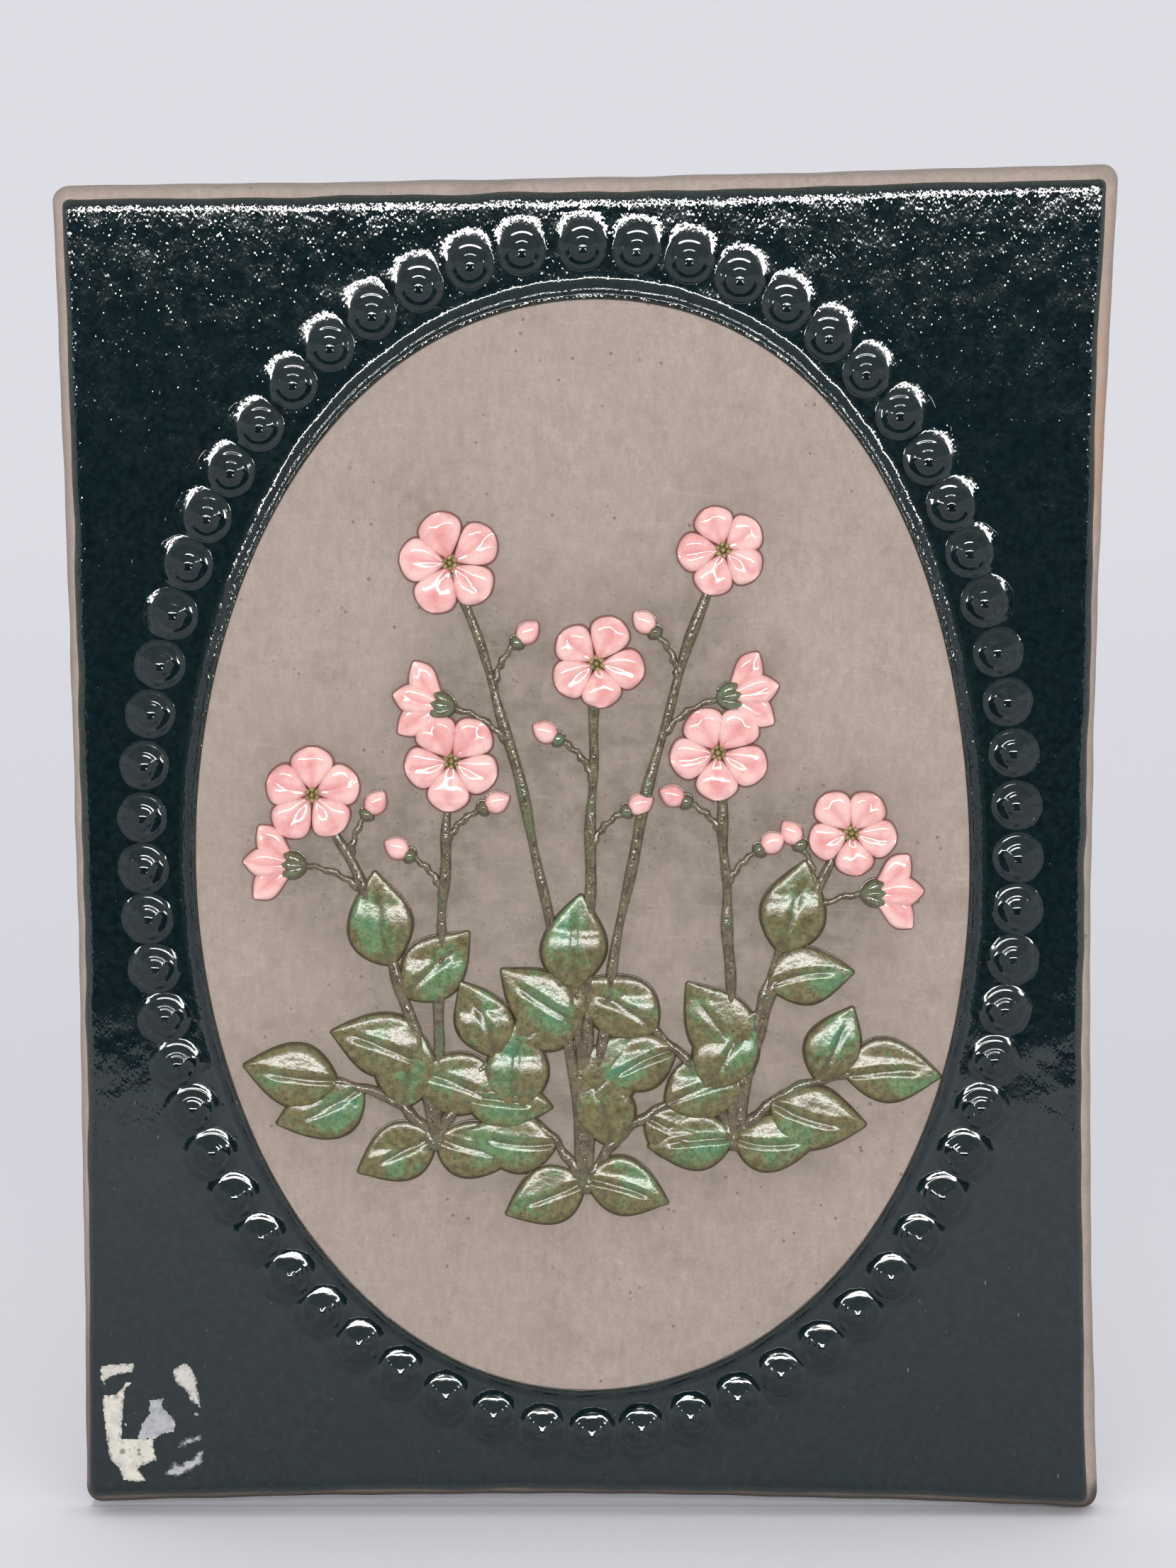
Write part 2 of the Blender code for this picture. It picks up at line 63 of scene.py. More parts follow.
# The slab, as in the solid: each side's distance from the middle, its lean and its bow.
SIDE_SHAPE = {
    "right": (0.0805, 0.0002, 0.0026),
    "top": (0.1064, 0.0017, 0.0004),
    "left": (0.0809, 0.0013, 0.0010),
    "bottom": (0.1038, 0.0005, 0.0018),
}
HALF_WIDTH = 0.0805
HALF_HEIGHT = 0.1059
CORNER_RADIUS = 0.0026
FRAME_DEPTH = 0.0080
CORNER_STEPS = 8
UPRIGHT_STEPS = 190
LEVEL_STEPS = 140

# The clay edge from the back to under the glaze: how far in, and how deep from the wall.
CLAY_EDGE = (
    (0.0022, 0.0000), (0.0008, 0.0000), (0.0003, 0.0002), (0.0000, 0.0006), (0.0000, 0.0016),
    (0.0002, 0.0030), (0.0004, 0.0044), (0.0006, 0.0057), (0.0009, 0.0067), (0.0013, 0.0073),
    (0.0018, 0.0076), (0.0025, 0.0077), (0.0036, 0.0077),
)
EDGE_ROUNDING = {"right": 1.0, "top": 1.0, "left": 1.0, "bottom": 1.35}
CLAY_CREASE = math.radians(38)

# The wear of the cut edge: its most, the depths between which it lies, and its waves round the slab.
# Such waves are the share of the wide wave, its count, its swing and the swing's count, then the
# count and lead of the fine wave.
EDGE_WEAR = 0.00010
WORN_DEPTHS = (0.0001, 0.0078)
WEAR_WAVES = (0.6, 23, 3, 5, 61, 1.0)

# Marks on the cut edge: painted shade on the underside, the dingy lower left and the rust-brown mark at
# the right.
UNDERSIDE_SHADE_RISE = (0.0040, 0.0060)
UNDERSIDE_SHADE_FRONT = (0.0072, 0.0075)
UNDERSIDE_SHADE_LEAST = 0.55
DINGY_FALL = (0.055, 0.095)
DINGY_AMOUNT = 0.6
EDGE_START = 0.07
RUST_PLACE = 0.070
RUST_REACH = 0.020

# The oval clay field and the steps of the glazed band round it.
OVAL_CENTRE = Vector((0.0001, 0.0012))
OVAL_HALF_WIDTH = 0.0611
OVAL_HALF_HEIGHT = 0.0867
FIELD_HEIGHT = 0.0012
FIELD_DEPTH = FRAME_DEPTH + FIELD_HEIGHT
OUTER_STEP = 0.0026
OUTER_STEP_TOP = 0.0009
OUTER_STEP_RISE = 0.00068
OUTER_STEP_RUN = 0.0017
INNER_STEP = 0.0007
INNER_STEP_TOP = 0.0008
INNER_STEP_RISE = 0.00046
INNER_STEP_RUN = 0.0005
STEP_SOFTNESS = 2.2
OVAL_MEAN_RADIUS = 0.0720
FIELD_WAVES = (
    (3, 0.00050, -162),
    (4, 0.00056, -160),
    (5, 0.00020, -120),
)

# The bare field's mesh, its rounded rim, and its unevenness as sizes, wavelengths and seeds.
FIELD_COLUMNS = 480
FIELD_ROWS = 70
FIELD_CROWDING = 0.85
FIELD_CREASE = math.radians(50)
FIELD_SIDE_FOOT = -0.0003
RIM_REACH = 0.0009
RIM_DROP = 0.00012
FIELD_RIPPLES = ((0.00005, 0.022, 3), (0.00002, 0.006, 8))

# Old dirt and painted shade round the relief: their strength, and how far they reach from leaves and from
# stems.
SOIL_AND_SHADE_STRENGTH = 0.42
LEAF_SOIL_AND_SHADE_REACH = 0.0095
STEM_SOIL_AND_SHADE_REACH = 0.0085
SOIL_AND_SHADE_STEM_PARTS = (0.15, 0.4, 0.65, 0.9, 1.1)

# The ring of beads. It sags at its foot, by RING_SAG.
BEADS = 64
RING_CENTRE = Vector((-0.0002, 0.0021))
RING_HALF_WIDTH = 0.0692
RING_HALF_HEIGHT = 0.0940
RING_WAVES = (
    (2, 0.00040, -84),
    (3, 0.00046, -167),
    (4, 0.00055, -169),
    (5, 0.00011, -151),
)
RING_SAG = 0.0016
RING_SAG_PLACE = 0.0030
RING_SAG_REACH = 0.0200
FIRST_BEAD_ANGLE = math.radians(90.2)
BEAD_STEP_ANGLE = math.radians(5.611)
BEAD_ANGLE_WAVES = (
    (1, math.radians(1.39), -89),
    (2, math.radians(4.62), -88),
    (3, math.radians(0.25), -173),
    (4, math.radians(0.76), -86),
)
BEAD_SIZE_STRAY = 0.02
BEAD_STRAY = 0.00010
KNOB_STRAY = 0.00010
MILLIMETRE = 0.001

# A bead's face from its knob out: the distance in millimetres, then slopes in degrees of its upper
# half (on beads at the ring's top, sides and foot) and of its lower half.
BEAD_PROFILE = (
    (0.10, 2.2, 3.0, 3.0, 0.8), (0.30, 3.9, 9.2, 10, 1.6), (0.42, 5.0, 10.5, 16.6, 2.0),
    (0.52, 15, 11.4, 17.4, 2.4), (0.66, 20, 20, 17.4, 2.8), (0.85, 24, 24, 17.5, 3.2),
    (1.20, 30, 30, 17.7, 19), (1.28, 30, 30, 33, 21), (1.46, 30, 30, 33, 25),
    (1.51, 4.6, 11.3, 33, 25), (1.57, 4.2, 11, 33, 25), (1.68, 3.4, 10.4, 33, 25),
    (1.74, 3.0, 10.2, 33, 25), (1.79, 30, 30, 33, 25), (1.98, 30, 30, 33, 25),
    (2.03, 30, 11.2, 33, 25), (2.08, 30, 10.9, 33, 25), (2.15, 30, 10.6, 33, 22),
    (2.20, 30, 10.3, 33, 14), (2.27, 30, 30, 33, 4), (2.74, 30, 30, 33, 3.4), (2.80, 30, 30, 28, 12),
    (2.84, 4.8, 30, 18.2, 18), (2.90, 4.3, 30, 17.9, 25), (2.98, 3.0, 30, 17.8, 25),
    (3.03, 1.5, 30, 17.7, 25), (3.09, 3.0, 30, 17.5, 25), (3.15, 4.3, 30, 17.2, 25),
    (3.20, 4.8, 22, 17.0, 25), (3.25, 22, 11.4, 15.5, 25), (3.33, 22, 10.8, 14, 25),
    (3.50, 22, 10.0, 13.5, 25),
)
BEAD_SECTORS = 37

# Where round the ring a bead's face turns to that of the top and of the foot, as parts of its height.
TOP_SPAN = (0.30, 0.65)
FOOT_SPAN = (0.35, 0.75)

# Where round a bead its upper slopes hold, as sines up from its middle: on the knob, in the moat
# and on the arcs. A turn moves that towards the field, and a lean adds degrees on the outer side.
KNOB_END = 0.00125
KNOB_TURN = (-0.75, -0.45)
SPOT_FACET = 0.72
ARC_TURN = 0.3
ARC_SPAN = (0.60, 0.80)
ARC_NARROWING = 0.18
MOAT_START = 0.00222
MOAT_END = 0.00282
MOAT_SPAN = (-0.45, -0.05)
MOAT_TURN = 0.45
MOAT_LEAN = 14.0
SHOULDER_START = 0.0031
SHOULDER_LEAN = 7.0

# The flattened crescent on the field's side of a side bead, and the rings where it comes and goes.
CRESCENT_SPAN = (0.78, 0.92)
CRESCENT_DROP = 0.36
CRESCENT_DEPTH = 0.85
CRESCENT_START = (0.0018, 0.0020)
CRESCENT_END = (0.0030, 0.0032)

# The skirt of pooled glaze round a bead, from the foot of the ring (-1) to its top (1): the
# skirt's height, its reach towards the field and away from it, and its hollowness.
SKIRT_SHAPE = (
    (-1.0, 0.00023, 0.00120, 0.00150, 1.5),
    (-0.6, 0.00023, 0.00100, 0.00150, 1.4),
    (0.0, 0.00022, 0.00045, 0.00055, 1.10),
    (0.3, 0.00022, 0.00045, 0.00060, 1.15),
    (0.5, 0.00023, 0.00045, 0.00200, 1.6),
    (1.0, 0.00023, 0.00045, 0.00290, 2.24),
)
SKIRT_ROWS = 7
SKIRT_SINK = 0.00001
SKIRT_TURN = (-0.1, 0.80)
SKIRT_TURN_AT_TOP = 0.25
SKIRT_FLUTES = ((0.06, 7, 1), (0.05, 13, 2))
BEAD_FLUTES = ((0.015, 2, 1), (0.008, 5, 2))

# How thin the glaze lies over a bead's edge and on to its skirt.
RIM_THIN = 0.5
RIM_THIN_START = (0.0030, 0.0033)
RIM_THIN_END = (0.0, 0.3)

# How unruly the glaze's surface is: on a bead's face, low down, by the lip, on the band and on skirts.
DISC_UNREST = 0.12
FOOT_UNREST = 0.35
LIP_UNREST = 0.9
BAND_UNREST = 2.4
SKIRT_UNREST = 0.85
UNREST_RISE = (-0.055, 0.075)
LIP_UNREST_SPAN = (0.0016, 0.0026)
BAND_UNREST_SPAN = (0.0018, 0.0024)
SKIRT_UNREST_SPAN = (0.1, 0.5)

# The glaze skin: columns to a bead, and rows across the band, the beads, the ground and the lip.
COLUMNS_PER_BEAD = 22
BAND_ROWS = 27
BAND_REACH = 0.0040
BEAD_ROWS = 10
BEAD_REACH = 0.0050
GROUND_ROWS = 9
LIP_ROWS = 16
LIP_WIDTH = 0.0026
LIP_SHARE = 0.62
LIP_CROWDING = 0.75
GLAZE_UNDERSIDE = 0.0070
GROUND_RIPPLES = ((0.000020, 0.009, 11), (0.000008, 0.0035, 12))
BAND_RIPPLES = ((0.00010, 0.010, 5), (0.00005, 0.0035, 6))
INNER_STEP_WOBBLE = 0.6

# Where the glaze lies thin: by the lip, by the field and on the outer step's edge.
THIN_LIP_SPAN = (0.0008, 0.0013)
THIN_BAND_SPAN = (0.0003, 0.0013)
THIN_BAND = 0.9
THIN_STEP_PLACE = 0.0003
THIN_STEP_SPAN = (0.0001, 0.0007)
THIN_STEP = 0.45
FIELD_EDGE_WIDTH = 0.00030
FIELD_EDGE_DROP = 0.00010
FIELD_EDGE_SPAN = (0.0001, 0.0006)
LIP_COLOUR_WIDTH = 0.0006

# The glaze's lip: distance in from its edge, and its slope in degrees there.
LIP_SLOPES = (
    (0.0000, 38), (0.00015, 28), (0.0005, 18), (0.0010, 13), (0.0012, 8), (0.0014, 5),
    (0.0022, 2.4), (0.0026, 0),
)
LIP_SLOPE_STEPS = 200

# The bare margin between the slab's outline and the glaze, on each side.
MARGINS = {"right": 0.0020, "top": 0.0025, "left": 0.0018, "bottom": 0.0022}
MARGIN_PLACES = (-0.094, -0.040, 0.028, 0.083)
MARGIN_CHANGES = {
    "right": (0.00040, 0.00015, -0.00025, 0.00055),
    "left": (-0.00050, 0.00005, 0.00015, 0.00050),
}
MARGIN_SIDE = (0.068, 0.076)
MARGIN_STRAY = 0.00018
MARGIN_WAVES = (0.65, 17, 2, 7, 53, 0.0)
BOUNDARY_STEPS = (600, 450, 24)
GLAZE_CORNER = 0.0012
GLAZE_THICKNESS = 0.00016

# The relief's layout, as in the solid.
SINK = 0.0004
CLUMPS = 3
CLUMP_SPACING = 0.0235
CLUMP_BASE = -0.0530
CLUMP_RISE = 0.0070
CLUMP_LEAN = math.radians(9)
LEAF_STEMS_PER_CLUMP = 3
MIDDLE_STEM_LENGTH = 0.0325
OUTER_STEM_LENGTH = 0.0230
STEM_LENGTH_STRAY = 0.10
LEAF_STEM_SPREAD = math.radians(49)
LEAF_STEM_STRAY = math.radians(5)
LEAF_STEM_START = 0.4
SIDE_LEAF_PARTS = (0.42, 0.76)
SIDE_LEAF_ANGLE = math.radians(56)
FOOT_LEAF_ANGLE = math.radians(104)
FOOT_LEAF_RISE = 0.0020
LEAF_STRAY = math.radians(8)
TIP_LEAF_PART = 0.92
LEAF_LENGTH = 0.0150
LEAF_WIDTH = 0.0102
LEAF_HEIGHT = 0.0014
LEAF_HEIGHT_STRAY = 0.20
LEAF_LEAN = math.radians(12)
LEAF_LEAN_STRAY = math.radians(6)
LEAF_LEAN_START = -0.0006
LEAF_LEAN_SOFTNESS = 0.0007
TIP_LEAF_SIZE = 1.02
FOOT_LEAF_SIZE = 0.92
SIDE_LEAF_TAPER = 0.06
LEAF_SIZE_STRAY = 0.07
BLOSSOM_STEMS = 7
FAN_CENTRE = Vector((0.0, -0.0060))
FAN_HALF_WIDTH = 0.0425
FAN_HALF_HEIGHT = 0.0610
FAN_HALF_ANGLE = math.radians(78)
FAN_ANGLE_STRAY = math.radians(4)
FAN_INNER = 0.58
FAN_REACH_STRAY = 0.04
STEM_BEND_ACROSS = 0.25
STEM_BEND_UPWARD = 0.60
BLOSSOM_RADIUS = 0.0074
BLOSSOM_SIZE_STRAY = 0.06
BLOSSOM_TURN = 0.6
BLOSSOM_HEIGHT = 0.0019
PETALS = 5
PETAL_WIDTH = 1.02
EYE_RADIUS = 0.0014
CUP_LENGTH = 0.0090
CUP_PETAL_WIDTH = 0.0048
CUP_SPREAD = math.radians(26)
CUP_HEIGHT = 0.0018
BUD_LENGTH = 0.0046
BUD_WIDTH = 0.0034
BUD_HEIGHT = 0.0013
STEM_RADIUS = 0.0009
STALK_RADIUS = 0.0006
STEM_SINK = 0.00015
STALK_ANGLE = math.radians(40)
STALK_START = 0.3
STALK_LENGTH = 0.0085
CUP_STALK_LENGTH = 0.0120
CUP_STALK_PART = 0.66
BUD_STALK_PART = 0.76
SHORT_STEM_BUD_PARTS = (0.60, 0.74)

# The pads' flared foot: how far out and how high over the field each ring of it lies.
PAD_FOOT = ((0.00008, 0.00010), (0.00026, 0.00004), (0.00034, -SINK))
PAD_FOOT_LEAST = 0.05
PAD_EDGE_PART = 0.12

# The pool of glaze on a pad: its strength, its half length and half width, and how far each strays.
POOL_STRENGTH = 0.62
POOL_STRENGTH_STRAY = 0.38
POOL_LENGTH = 0.30
POOL_WIDTH = 0.55
POOL_PLACE_STRAY = 0.18
POOL_SIDE_STRAY = 0.35

# A leaf's middle crease, with a low brow on each side of it.
LEAF_PILLOW = 3.6
LEAF_CREASE = 0.22
LEAF_CREASE_SHARPNESS = 10.0
LEAF_CREASE_END = (0.62, 0.80)
LEAF_BROW = 0.07
LEAF_BROW_PLACE = 0.18
LEAF_BROW_WIDTH = 0.12
LEAF_LOWEST = 0.58

# The green sepals and the grains of a blossom's eye.
SEPAL_LENGTH = 0.0046
SEPAL_WIDTH = 0.0024
SEPAL_SPREAD = 0.42
SEPAL_BACK = 0.0012
BUD_SEPAL_LENGTH = 0.0022
BUD_SEPAL_BACK = 0.0010
EYE_GRAINS = 7
EYE_GRAIN_SIZE = 0.0011
EYE_RING = 0.62

# A stem's sides and stations, and its unevenness as sizes, counts and leads.
STEM_SIDES = 12
BLOSSOM_STEM_STATIONS = 70
LEAF_STEM_STATIONS = 36
STALK_STATIONS = 20
STEM_GIRTH_WAVES = ((0.13, 19, 1), (0.09, 47, 3))
STEM_TAPER = (1.10, 0.22)
STEM_DRIFT = 0.00016

# The hanging slot in the back.
SLOT_STEPS = 12
SLOT_LENGTH = 0.0160
SLOT_HEIGHT = 0.0080
SLOT_DEPTH = 0.0050
SLOT_TOP = 0.0940

# The torn paper remnant at the lower left of the frame.
PAPER_LEFT = -0.0773
PAPER_RIGHT = -0.0610
PAPER_TOP = -0.0807
PAPER_BOTTOM = -0.1006
PAPER_CELL = 0.00016
PAPER_THICKNESS = 0.00006
PAPER_FADE = 0.0009
PAPER_SINK = 0.00012
PAPER_BORDER = 0.001
PAPER_CREASE = math.radians(60)
TORN_RIPPLES = ((0.6, 0.0016, 22), (0.4, 0.0007, 23))
CURL_RIPPLES = ((0.00005, 0.004, 31), (0.00003, 0.0012, 32))

# Dark spots on the paper: their places in parts of its width and height, and their radii.
PAPER_SPOTS = ((0.21, 0.27, 0.00045), (0.37, 0.28, 0.00030), (0.375, 0.25, 0.00028))

# Each piece of paper left: its corners in parts of the label's width and height, how ragged its
# edge is, how silvery it is and how softly it fades out.
PAPER_PIECES = (
    (((0.01, 0.976), (0.34, 0.993), (0.33, 0.923), (0.20, 0.905), (0.11, 0.885), (0.03, 0.84),
      (0.00, 0.86)), 0.00008, 0.15, 0.5),
    (((0.04, 0.727), (0.15, 0.735), (0.22, 0.797), (0.25, 0.84), (0.32, 0.835), (0.25, 0.79),
      (0.22, 0.63), (0.205, 0.378), (0.36, 0.370), (0.515, 0.385), (0.52, 0.29), (0.545, 0.195),
      (0.40, 0.155), (0.36, 0.125), (0.44, 0.035), (0.36, 0.02), (0.21, 0.035), (0.17, 0.14),
      (0.09, 0.196), (0.06, 0.35), (0.03, 0.573), (0.015, 0.685)), 0.00009, 0.0, 0.5),
    (((0.48, 0.692), (0.61, 0.706), (0.61, 0.63), (0.66, 0.59), (0.73, 0.517), (0.72, 0.434),
      (0.60, 0.413), (0.53, 0.370), (0.36, 0.368), (0.39, 0.49), (0.48, 0.573)), 0.00016, 0.9, 0.3),
    (((0.70, 0.93), (0.81, 0.993), (0.86, 0.993), (0.945, 0.867), (0.963, 0.741), (0.98, 0.629),
      (0.88, 0.685), (0.855, 0.755), (0.75, 0.825)), 0.00014, 0.35, 0.6),
    (((0.91, 0.587), (0.96, 0.59), (0.965, 0.566), (0.92, 0.557)), 0.00008, 0.4, 0.5),
    (((0.73, 0.294), (0.81, 0.378), (0.88, 0.385), (0.99, 0.422), (0.99, 0.371), (0.88, 0.329),
      (0.81, 0.308)), 0.00026, 0.8, 1.0),
    (((0.597, 0.07), (0.713, 0.182), (0.78, 0.168), (0.88, 0.21), (0.963, 0.273), (0.997, 0.28),
      (1.0, 0.182), (0.90, 0.112), (0.75, 0.063)), 0.00026, 0.8, 1.0),
    (((0.225, 0.50), (0.26, 0.505), (0.25, 0.46)), 0.00006, 0.5, 0.5),
    (((0.03, 0.83), (0.05, 0.84), (0.045, 0.80)), 0.00006, 0.5, 0.5),
)

# The camera.
CAMERA_TARGET = Vector((0.00045, -0.0090, 0.0120))
CAMERA_DISTANCE = 0.600
CAMERA_ELEVATION = math.radians(6)
CAMERA_LENS = 88.0
SENSOR = 36.0

# The studio's light: a long soft bar, the even world, and cards that only reflections see.
BAR_PLACE = (0.0, -1.0, 0.250)
BAR_TARGET = (0.0, 0.0, 0.05)
BAR_SIZE = (1.3, 0.085)
BAR_COLOUR = (1.0, 0.985, 0.96)
BAR_GLINT = 46.0  # how bright reflections see it
BAR_LIGHT = 25.0  # how bright it shines on the rest
WORLD_COLOUR = (0.965, 0.975, 1.0)
WORLD_STRENGTH = 0.98
CARD_COLOUR = (0.94, 0.98, 1.0)
REFLECTED_CARDS = {
    "front_opening": (
        ((-0.28, -0.40, -0.112), (0.28, -0.40, -0.112), (0.66, -1.0, 0.20), (-0.66, -1.0, 0.20)), 0.03),
    "tent_ceiling": (
        ((-1.2, -1.0, 0.36), (1.2, -1.0, 0.36), (1.2, 0.30, 0.60), (-1.2, 0.30, 0.60)), 0.60),
}

# The pale floor that bends up into a backdrop, and the unseen shade on it.
STAGE_COLOUR = (0.70, 0.695, 0.73)
STAGE_HALF_WIDTH = 3.0
STAGE_FRONT = -1.6
STAGE_BEND_START = 0.35
STAGE_BEND_RADIUS = 1.1
STAGE_BEND_STEPS = 24
STAGE_HEIGHT = 2.6
STAGE_GAP = 0.0003
SHADE_GAP = 0.0001
SHADE_SPAN = (-0.0800, 0.0780, -0.0020, 0.0300)
SHADE_COLOUR = (0.3, 0.3, 0.3)
SHADE_ALPHA = 0.44


# Small helpers for repeatable unevenness.

def sway(seed):
    """Return a repeatable value from -1 to 1, for the unevenness of hand-made work."""
    return math.sin(seed * 12.9898 + math.sin(seed * 4.1414) * 3.0)


def ripple(across, upward, wavelength, seed, waves=7):
    """Return a smooth repeatable unevenness, about -1 to 1, over arrays of places."""
    total = np.zeros(np.broadcast(across, upward).shape)
    for n in range(waves):
        heading = 2.0 * math.pi * ((seed * 0.37 + n * 0.618) % 1.0)
        length = wavelength * (0.65 + 0.7 * ((n * 0.377 + seed * 0.13) % 1.0))
        run = across * math.cos(heading) + upward * math.sin(heading)
        total += np.sin(2.0 * math.pi * run / length + seed * 1.7 + n * 2.4)
    return total / math.sqrt(waves) * 0.85


def unevenness(across, upward, ripples):
    """Return a sum of ripples, each a size, a wavelength and a seed."""
    return sum(size * ripple(across, upward, length, seed) for size, length, seed in ripples)


def wander(turn, waves):
    """Return how a line cut by hand wanders round the slab, from -1 to 1."""
    share, count, swing, swing_count, fine_count, lead = waves
    wide = np.sin(turn * count + swing * np.sin(turn * swing_count))
    return share * wide + (1.0 - share) * np.sin(turn * fine_count + lead)


def smooth(value, low, high):
    """Return 0 below low, 1 above high and a smooth rise between them."""
    part = np.clip((value - low) / (high - low), 0.0, 1.0)
    return part * part * (3.0 - 2.0 * part)


def fade(value, low, high):
    """Return 1 below low, 0 above high and a smooth fall between them."""
    return 1.0 - smooth(value, low, high)


# The slab's outline and the ovals.

def side_distance(side, part):
    distance, lean, bow = SIDE_SHAPE[side]
    return distance + lean * part + bow * part * part


def lean_point(point):
    """Move a point of the true rectangle to its place on the uneven slab."""
    across = point.x / HALF_WIDTH
    upward = point.y / HALF_HEIGHT
    width = side_distance("right" if across > 0 else "left", upward)
    height = side_distance("top" if upward > 0 else "bottom", across)
    return Vector((across * width, upward * height))


def rounded_rectangle(insets, radius, upright_steps, level_steps, corner_steps):
    """Return a rounded rectangle's points, anticlockwise from the lower right corner."""
    right = HALF_WIDTH - insets["right"] - radius
    left = HALF_WIDTH - insets["left"] - radius
    top = HALF_HEIGHT - insets["top"] - radius
    bottom = HALF_HEIGHT - insets["bottom"] - radius
    arcs = []
    for n, centre in enumerate(((right, -bottom), (right, top), (-left, top), (-left, -bottom))):
        arc = []
        for step in range(corner_steps + 1):
            angle = (n - 1) * math.pi / 2 + math.pi / 2 * step / corner_steps
            arc.append(Vector(centre) + radius * Vector((math.cos(angle), math.sin(angle))))
        arcs.append(arc)
    points = []
    for n, arc in enumerate(arcs):
        points += arc
        following = arcs[(n + 1) % 4]
        steps = upright_steps if n % 2 == 0 else level_steps
        points += [arc[-1].lerp(following[0], step / steps) for step in range(1, steps)]
    return [lean_point(point) for point in points]


def slab_outline(inset):
    insets = {side: inset * rounding for side, rounding in EDGE_ROUNDING.items()}
    return rounded_rectangle(insets, CORNER_RADIUS, UPRIGHT_STEPS, LEVEL_STEPS, CORNER_STEPS)


def wave_sum(waves, angle):
    """Return the sum of waves, each a count round the oval, a size and its crest's angle in degrees."""
    return sum(size * np.cos(count * angle - math.radians(crest)) for count, size, crest in waves)


def oval_points(centre, half_width, half_height, waves, angles):
    """Return the across and upward places of points on a hand-made oval, at angles round it."""
    swell = 1.0 + wave_sum(waves, angles) / OVAL_MEAN_RADIUS
    return centre.x + swell * half_width * np.cos(angles), centre.y + swell * half_height * np.sin(angles)


def field_points(margin, angles):
    half_width = OVAL_HALF_WIDTH + margin
    half_height = OVAL_HALF_HEIGHT + margin
    return oval_points(OVAL_CENTRE, half_width, half_height, FIELD_WAVES, angles)


def ring_points(margin, angles):
    """Return points of the ring of beads, or of the line at a distance outside it."""
    half_width = RING_HALF_WIDTH + margin
    half_height = RING_HALF_HEIGHT + margin
    x, z = oval_points(RING_CENTRE, half_width, half_height, RING_WAVES, angles)
    sag = RING_SAG * np.exp(-((x - RING_SAG_PLACE) / RING_SAG_REACH) ** 2) * (np.sin(angles) < 0.0)
    return x, z - sag


def bead_angle(number):
    """Return a bead's place round the ring, clockwise from the top."""
    stray = wave_sum(BEAD_ANGLE_WAVES, 2 * math.pi * number / BEADS)
    return FIRST_BEAD_ANGLE - number * BEAD_STEP_ANGLE + stray


def column_angles():
    """Return the angles of the glaze skin's columns, the same count from each bead to the next."""
    numbers = np.arange(BEADS)
    knots = np.append(bead_angle(numbers), bead_angle(0) - 2 * math.pi)
    places = np.arange(BEADS * COLUMNS_PER_BEAD) / COLUMNS_PER_BEAD
    return np.interp(places, np.arange(BEADS + 1), knots)


# Meshes.

def link(name, data):
    """Return a new object in the scene."""
    piece = bpy.data.objects.new(name, data)
    bpy.context.scene.collection.objects.link(piece)
    return piece


def flat_array(points):
    """Return points as rows of numbers."""
    return np.array([tuple(point) for point in points])


def set_mark(mesh, name, values):
    """Keep a named value at each of a mesh's points."""
    mark = mesh.attributes.new(name, "FLOAT", "POINT")
    mark.data.foreach_set("value", np.ascontiguousarray(values, np.float32))


def new_mesh(name, points, faces, marks=None, smooth_angle=None):
    """Return a piece from points and faces, with named values kept at its points."""
    mesh = bpy.data.meshes.new(name)
    mesh.from_pydata([tuple(point) for point in points], [], faces)
    for mark, values in (marks or {}).items():
        set_mark(mesh, mark, values)
    shape = bmesh.new()
    shape.from_mesh(mesh)
    bmesh.ops.recalc_face_normals(shape, faces=shape.faces)
    shape.to_mesh(mesh)
    shape.free()
    mesh.shade_smooth()
    if smooth_angle is not None:
        mesh.set_sharp_from_angle(angle=smooth_angle)
    return link(name, mesh)


def grid_faces(rows, columns, wrap_rows=False, wrap_columns=False):
    """Return the faces between neighbouring rows and columns of points."""
    faces = []
    for row in range(rows if wrap_rows else rows - 1):
        following = (row + 1) % rows
        for column in range(columns if wrap_columns else columns - 1):
            beside = (column + 1) % columns
            faces.append((
                row * columns + column,
                row * columns + beside,
                following * columns + beside,
                following * columns + column,
            ))
    return faces


def tube_faces(rows, columns):
    """Return the faces of a closed tube: its wall and its two ends."""
    last = (rows - 1) * columns
    ends = [tuple(range(columns)), tuple(range(last, last + columns))]
    return grid_faces(rows, columns, wrap_columns=True) + ends


def dome_faces(rows, columns):
    """Return the faces of rings of points that run from a middle point, kept last, to a flat end."""
    middle = rows * columns
    faces = grid_faces(rows, columns, wrap_columns=True)
    faces += [(middle, i, (i + 1) % columns) for i in range(columns)]
    return faces + [tuple(range(middle - columns, middle))]


def stand_up(across, upward, depth):
    """Return points on the front from their flat places and their depths from the wall."""
    return np.stack([across, -depth, upward], axis=-1).reshape(-1, 3)


# The clay slab's edge, sides and back.

def make_clay_body():
    """Make the slab itself: its cut edge, its sides and its flat back with the hanging slot."""
    rings = []
    shallowest, deepest = WORN_DEPTHS
    for inset, depth in CLAY_EDGE:
        outline = flat_array(slab_outline(inset))
        turn = np.arange(len(outline)) / len(outline) * 2 * math.pi
        worn = 1.0 if shallowest < depth < deepest else 0.0
        wear = EDGE_WEAR * (wander(turn, WEAR_WAVES) - 1.0) * worn
        outline = outline * (1.0 + wear / np.linalg.norm(outline, axis=1))[:, None]
        rings.append(stand_up(outline[:, 0], outline[:, 1], np.full(len(outline), depth)))
    piece = new_mesh("clay_slab", np.concatenate(rings), tube_faces(len(rings), len(rings[0])))
    cut_slot(piece)
    mark_edge(piece.data)
    piece.data.shade_smooth()
    piece.data.set_sharp_from_angle(angle=CLAY_CREASE)
    return piece


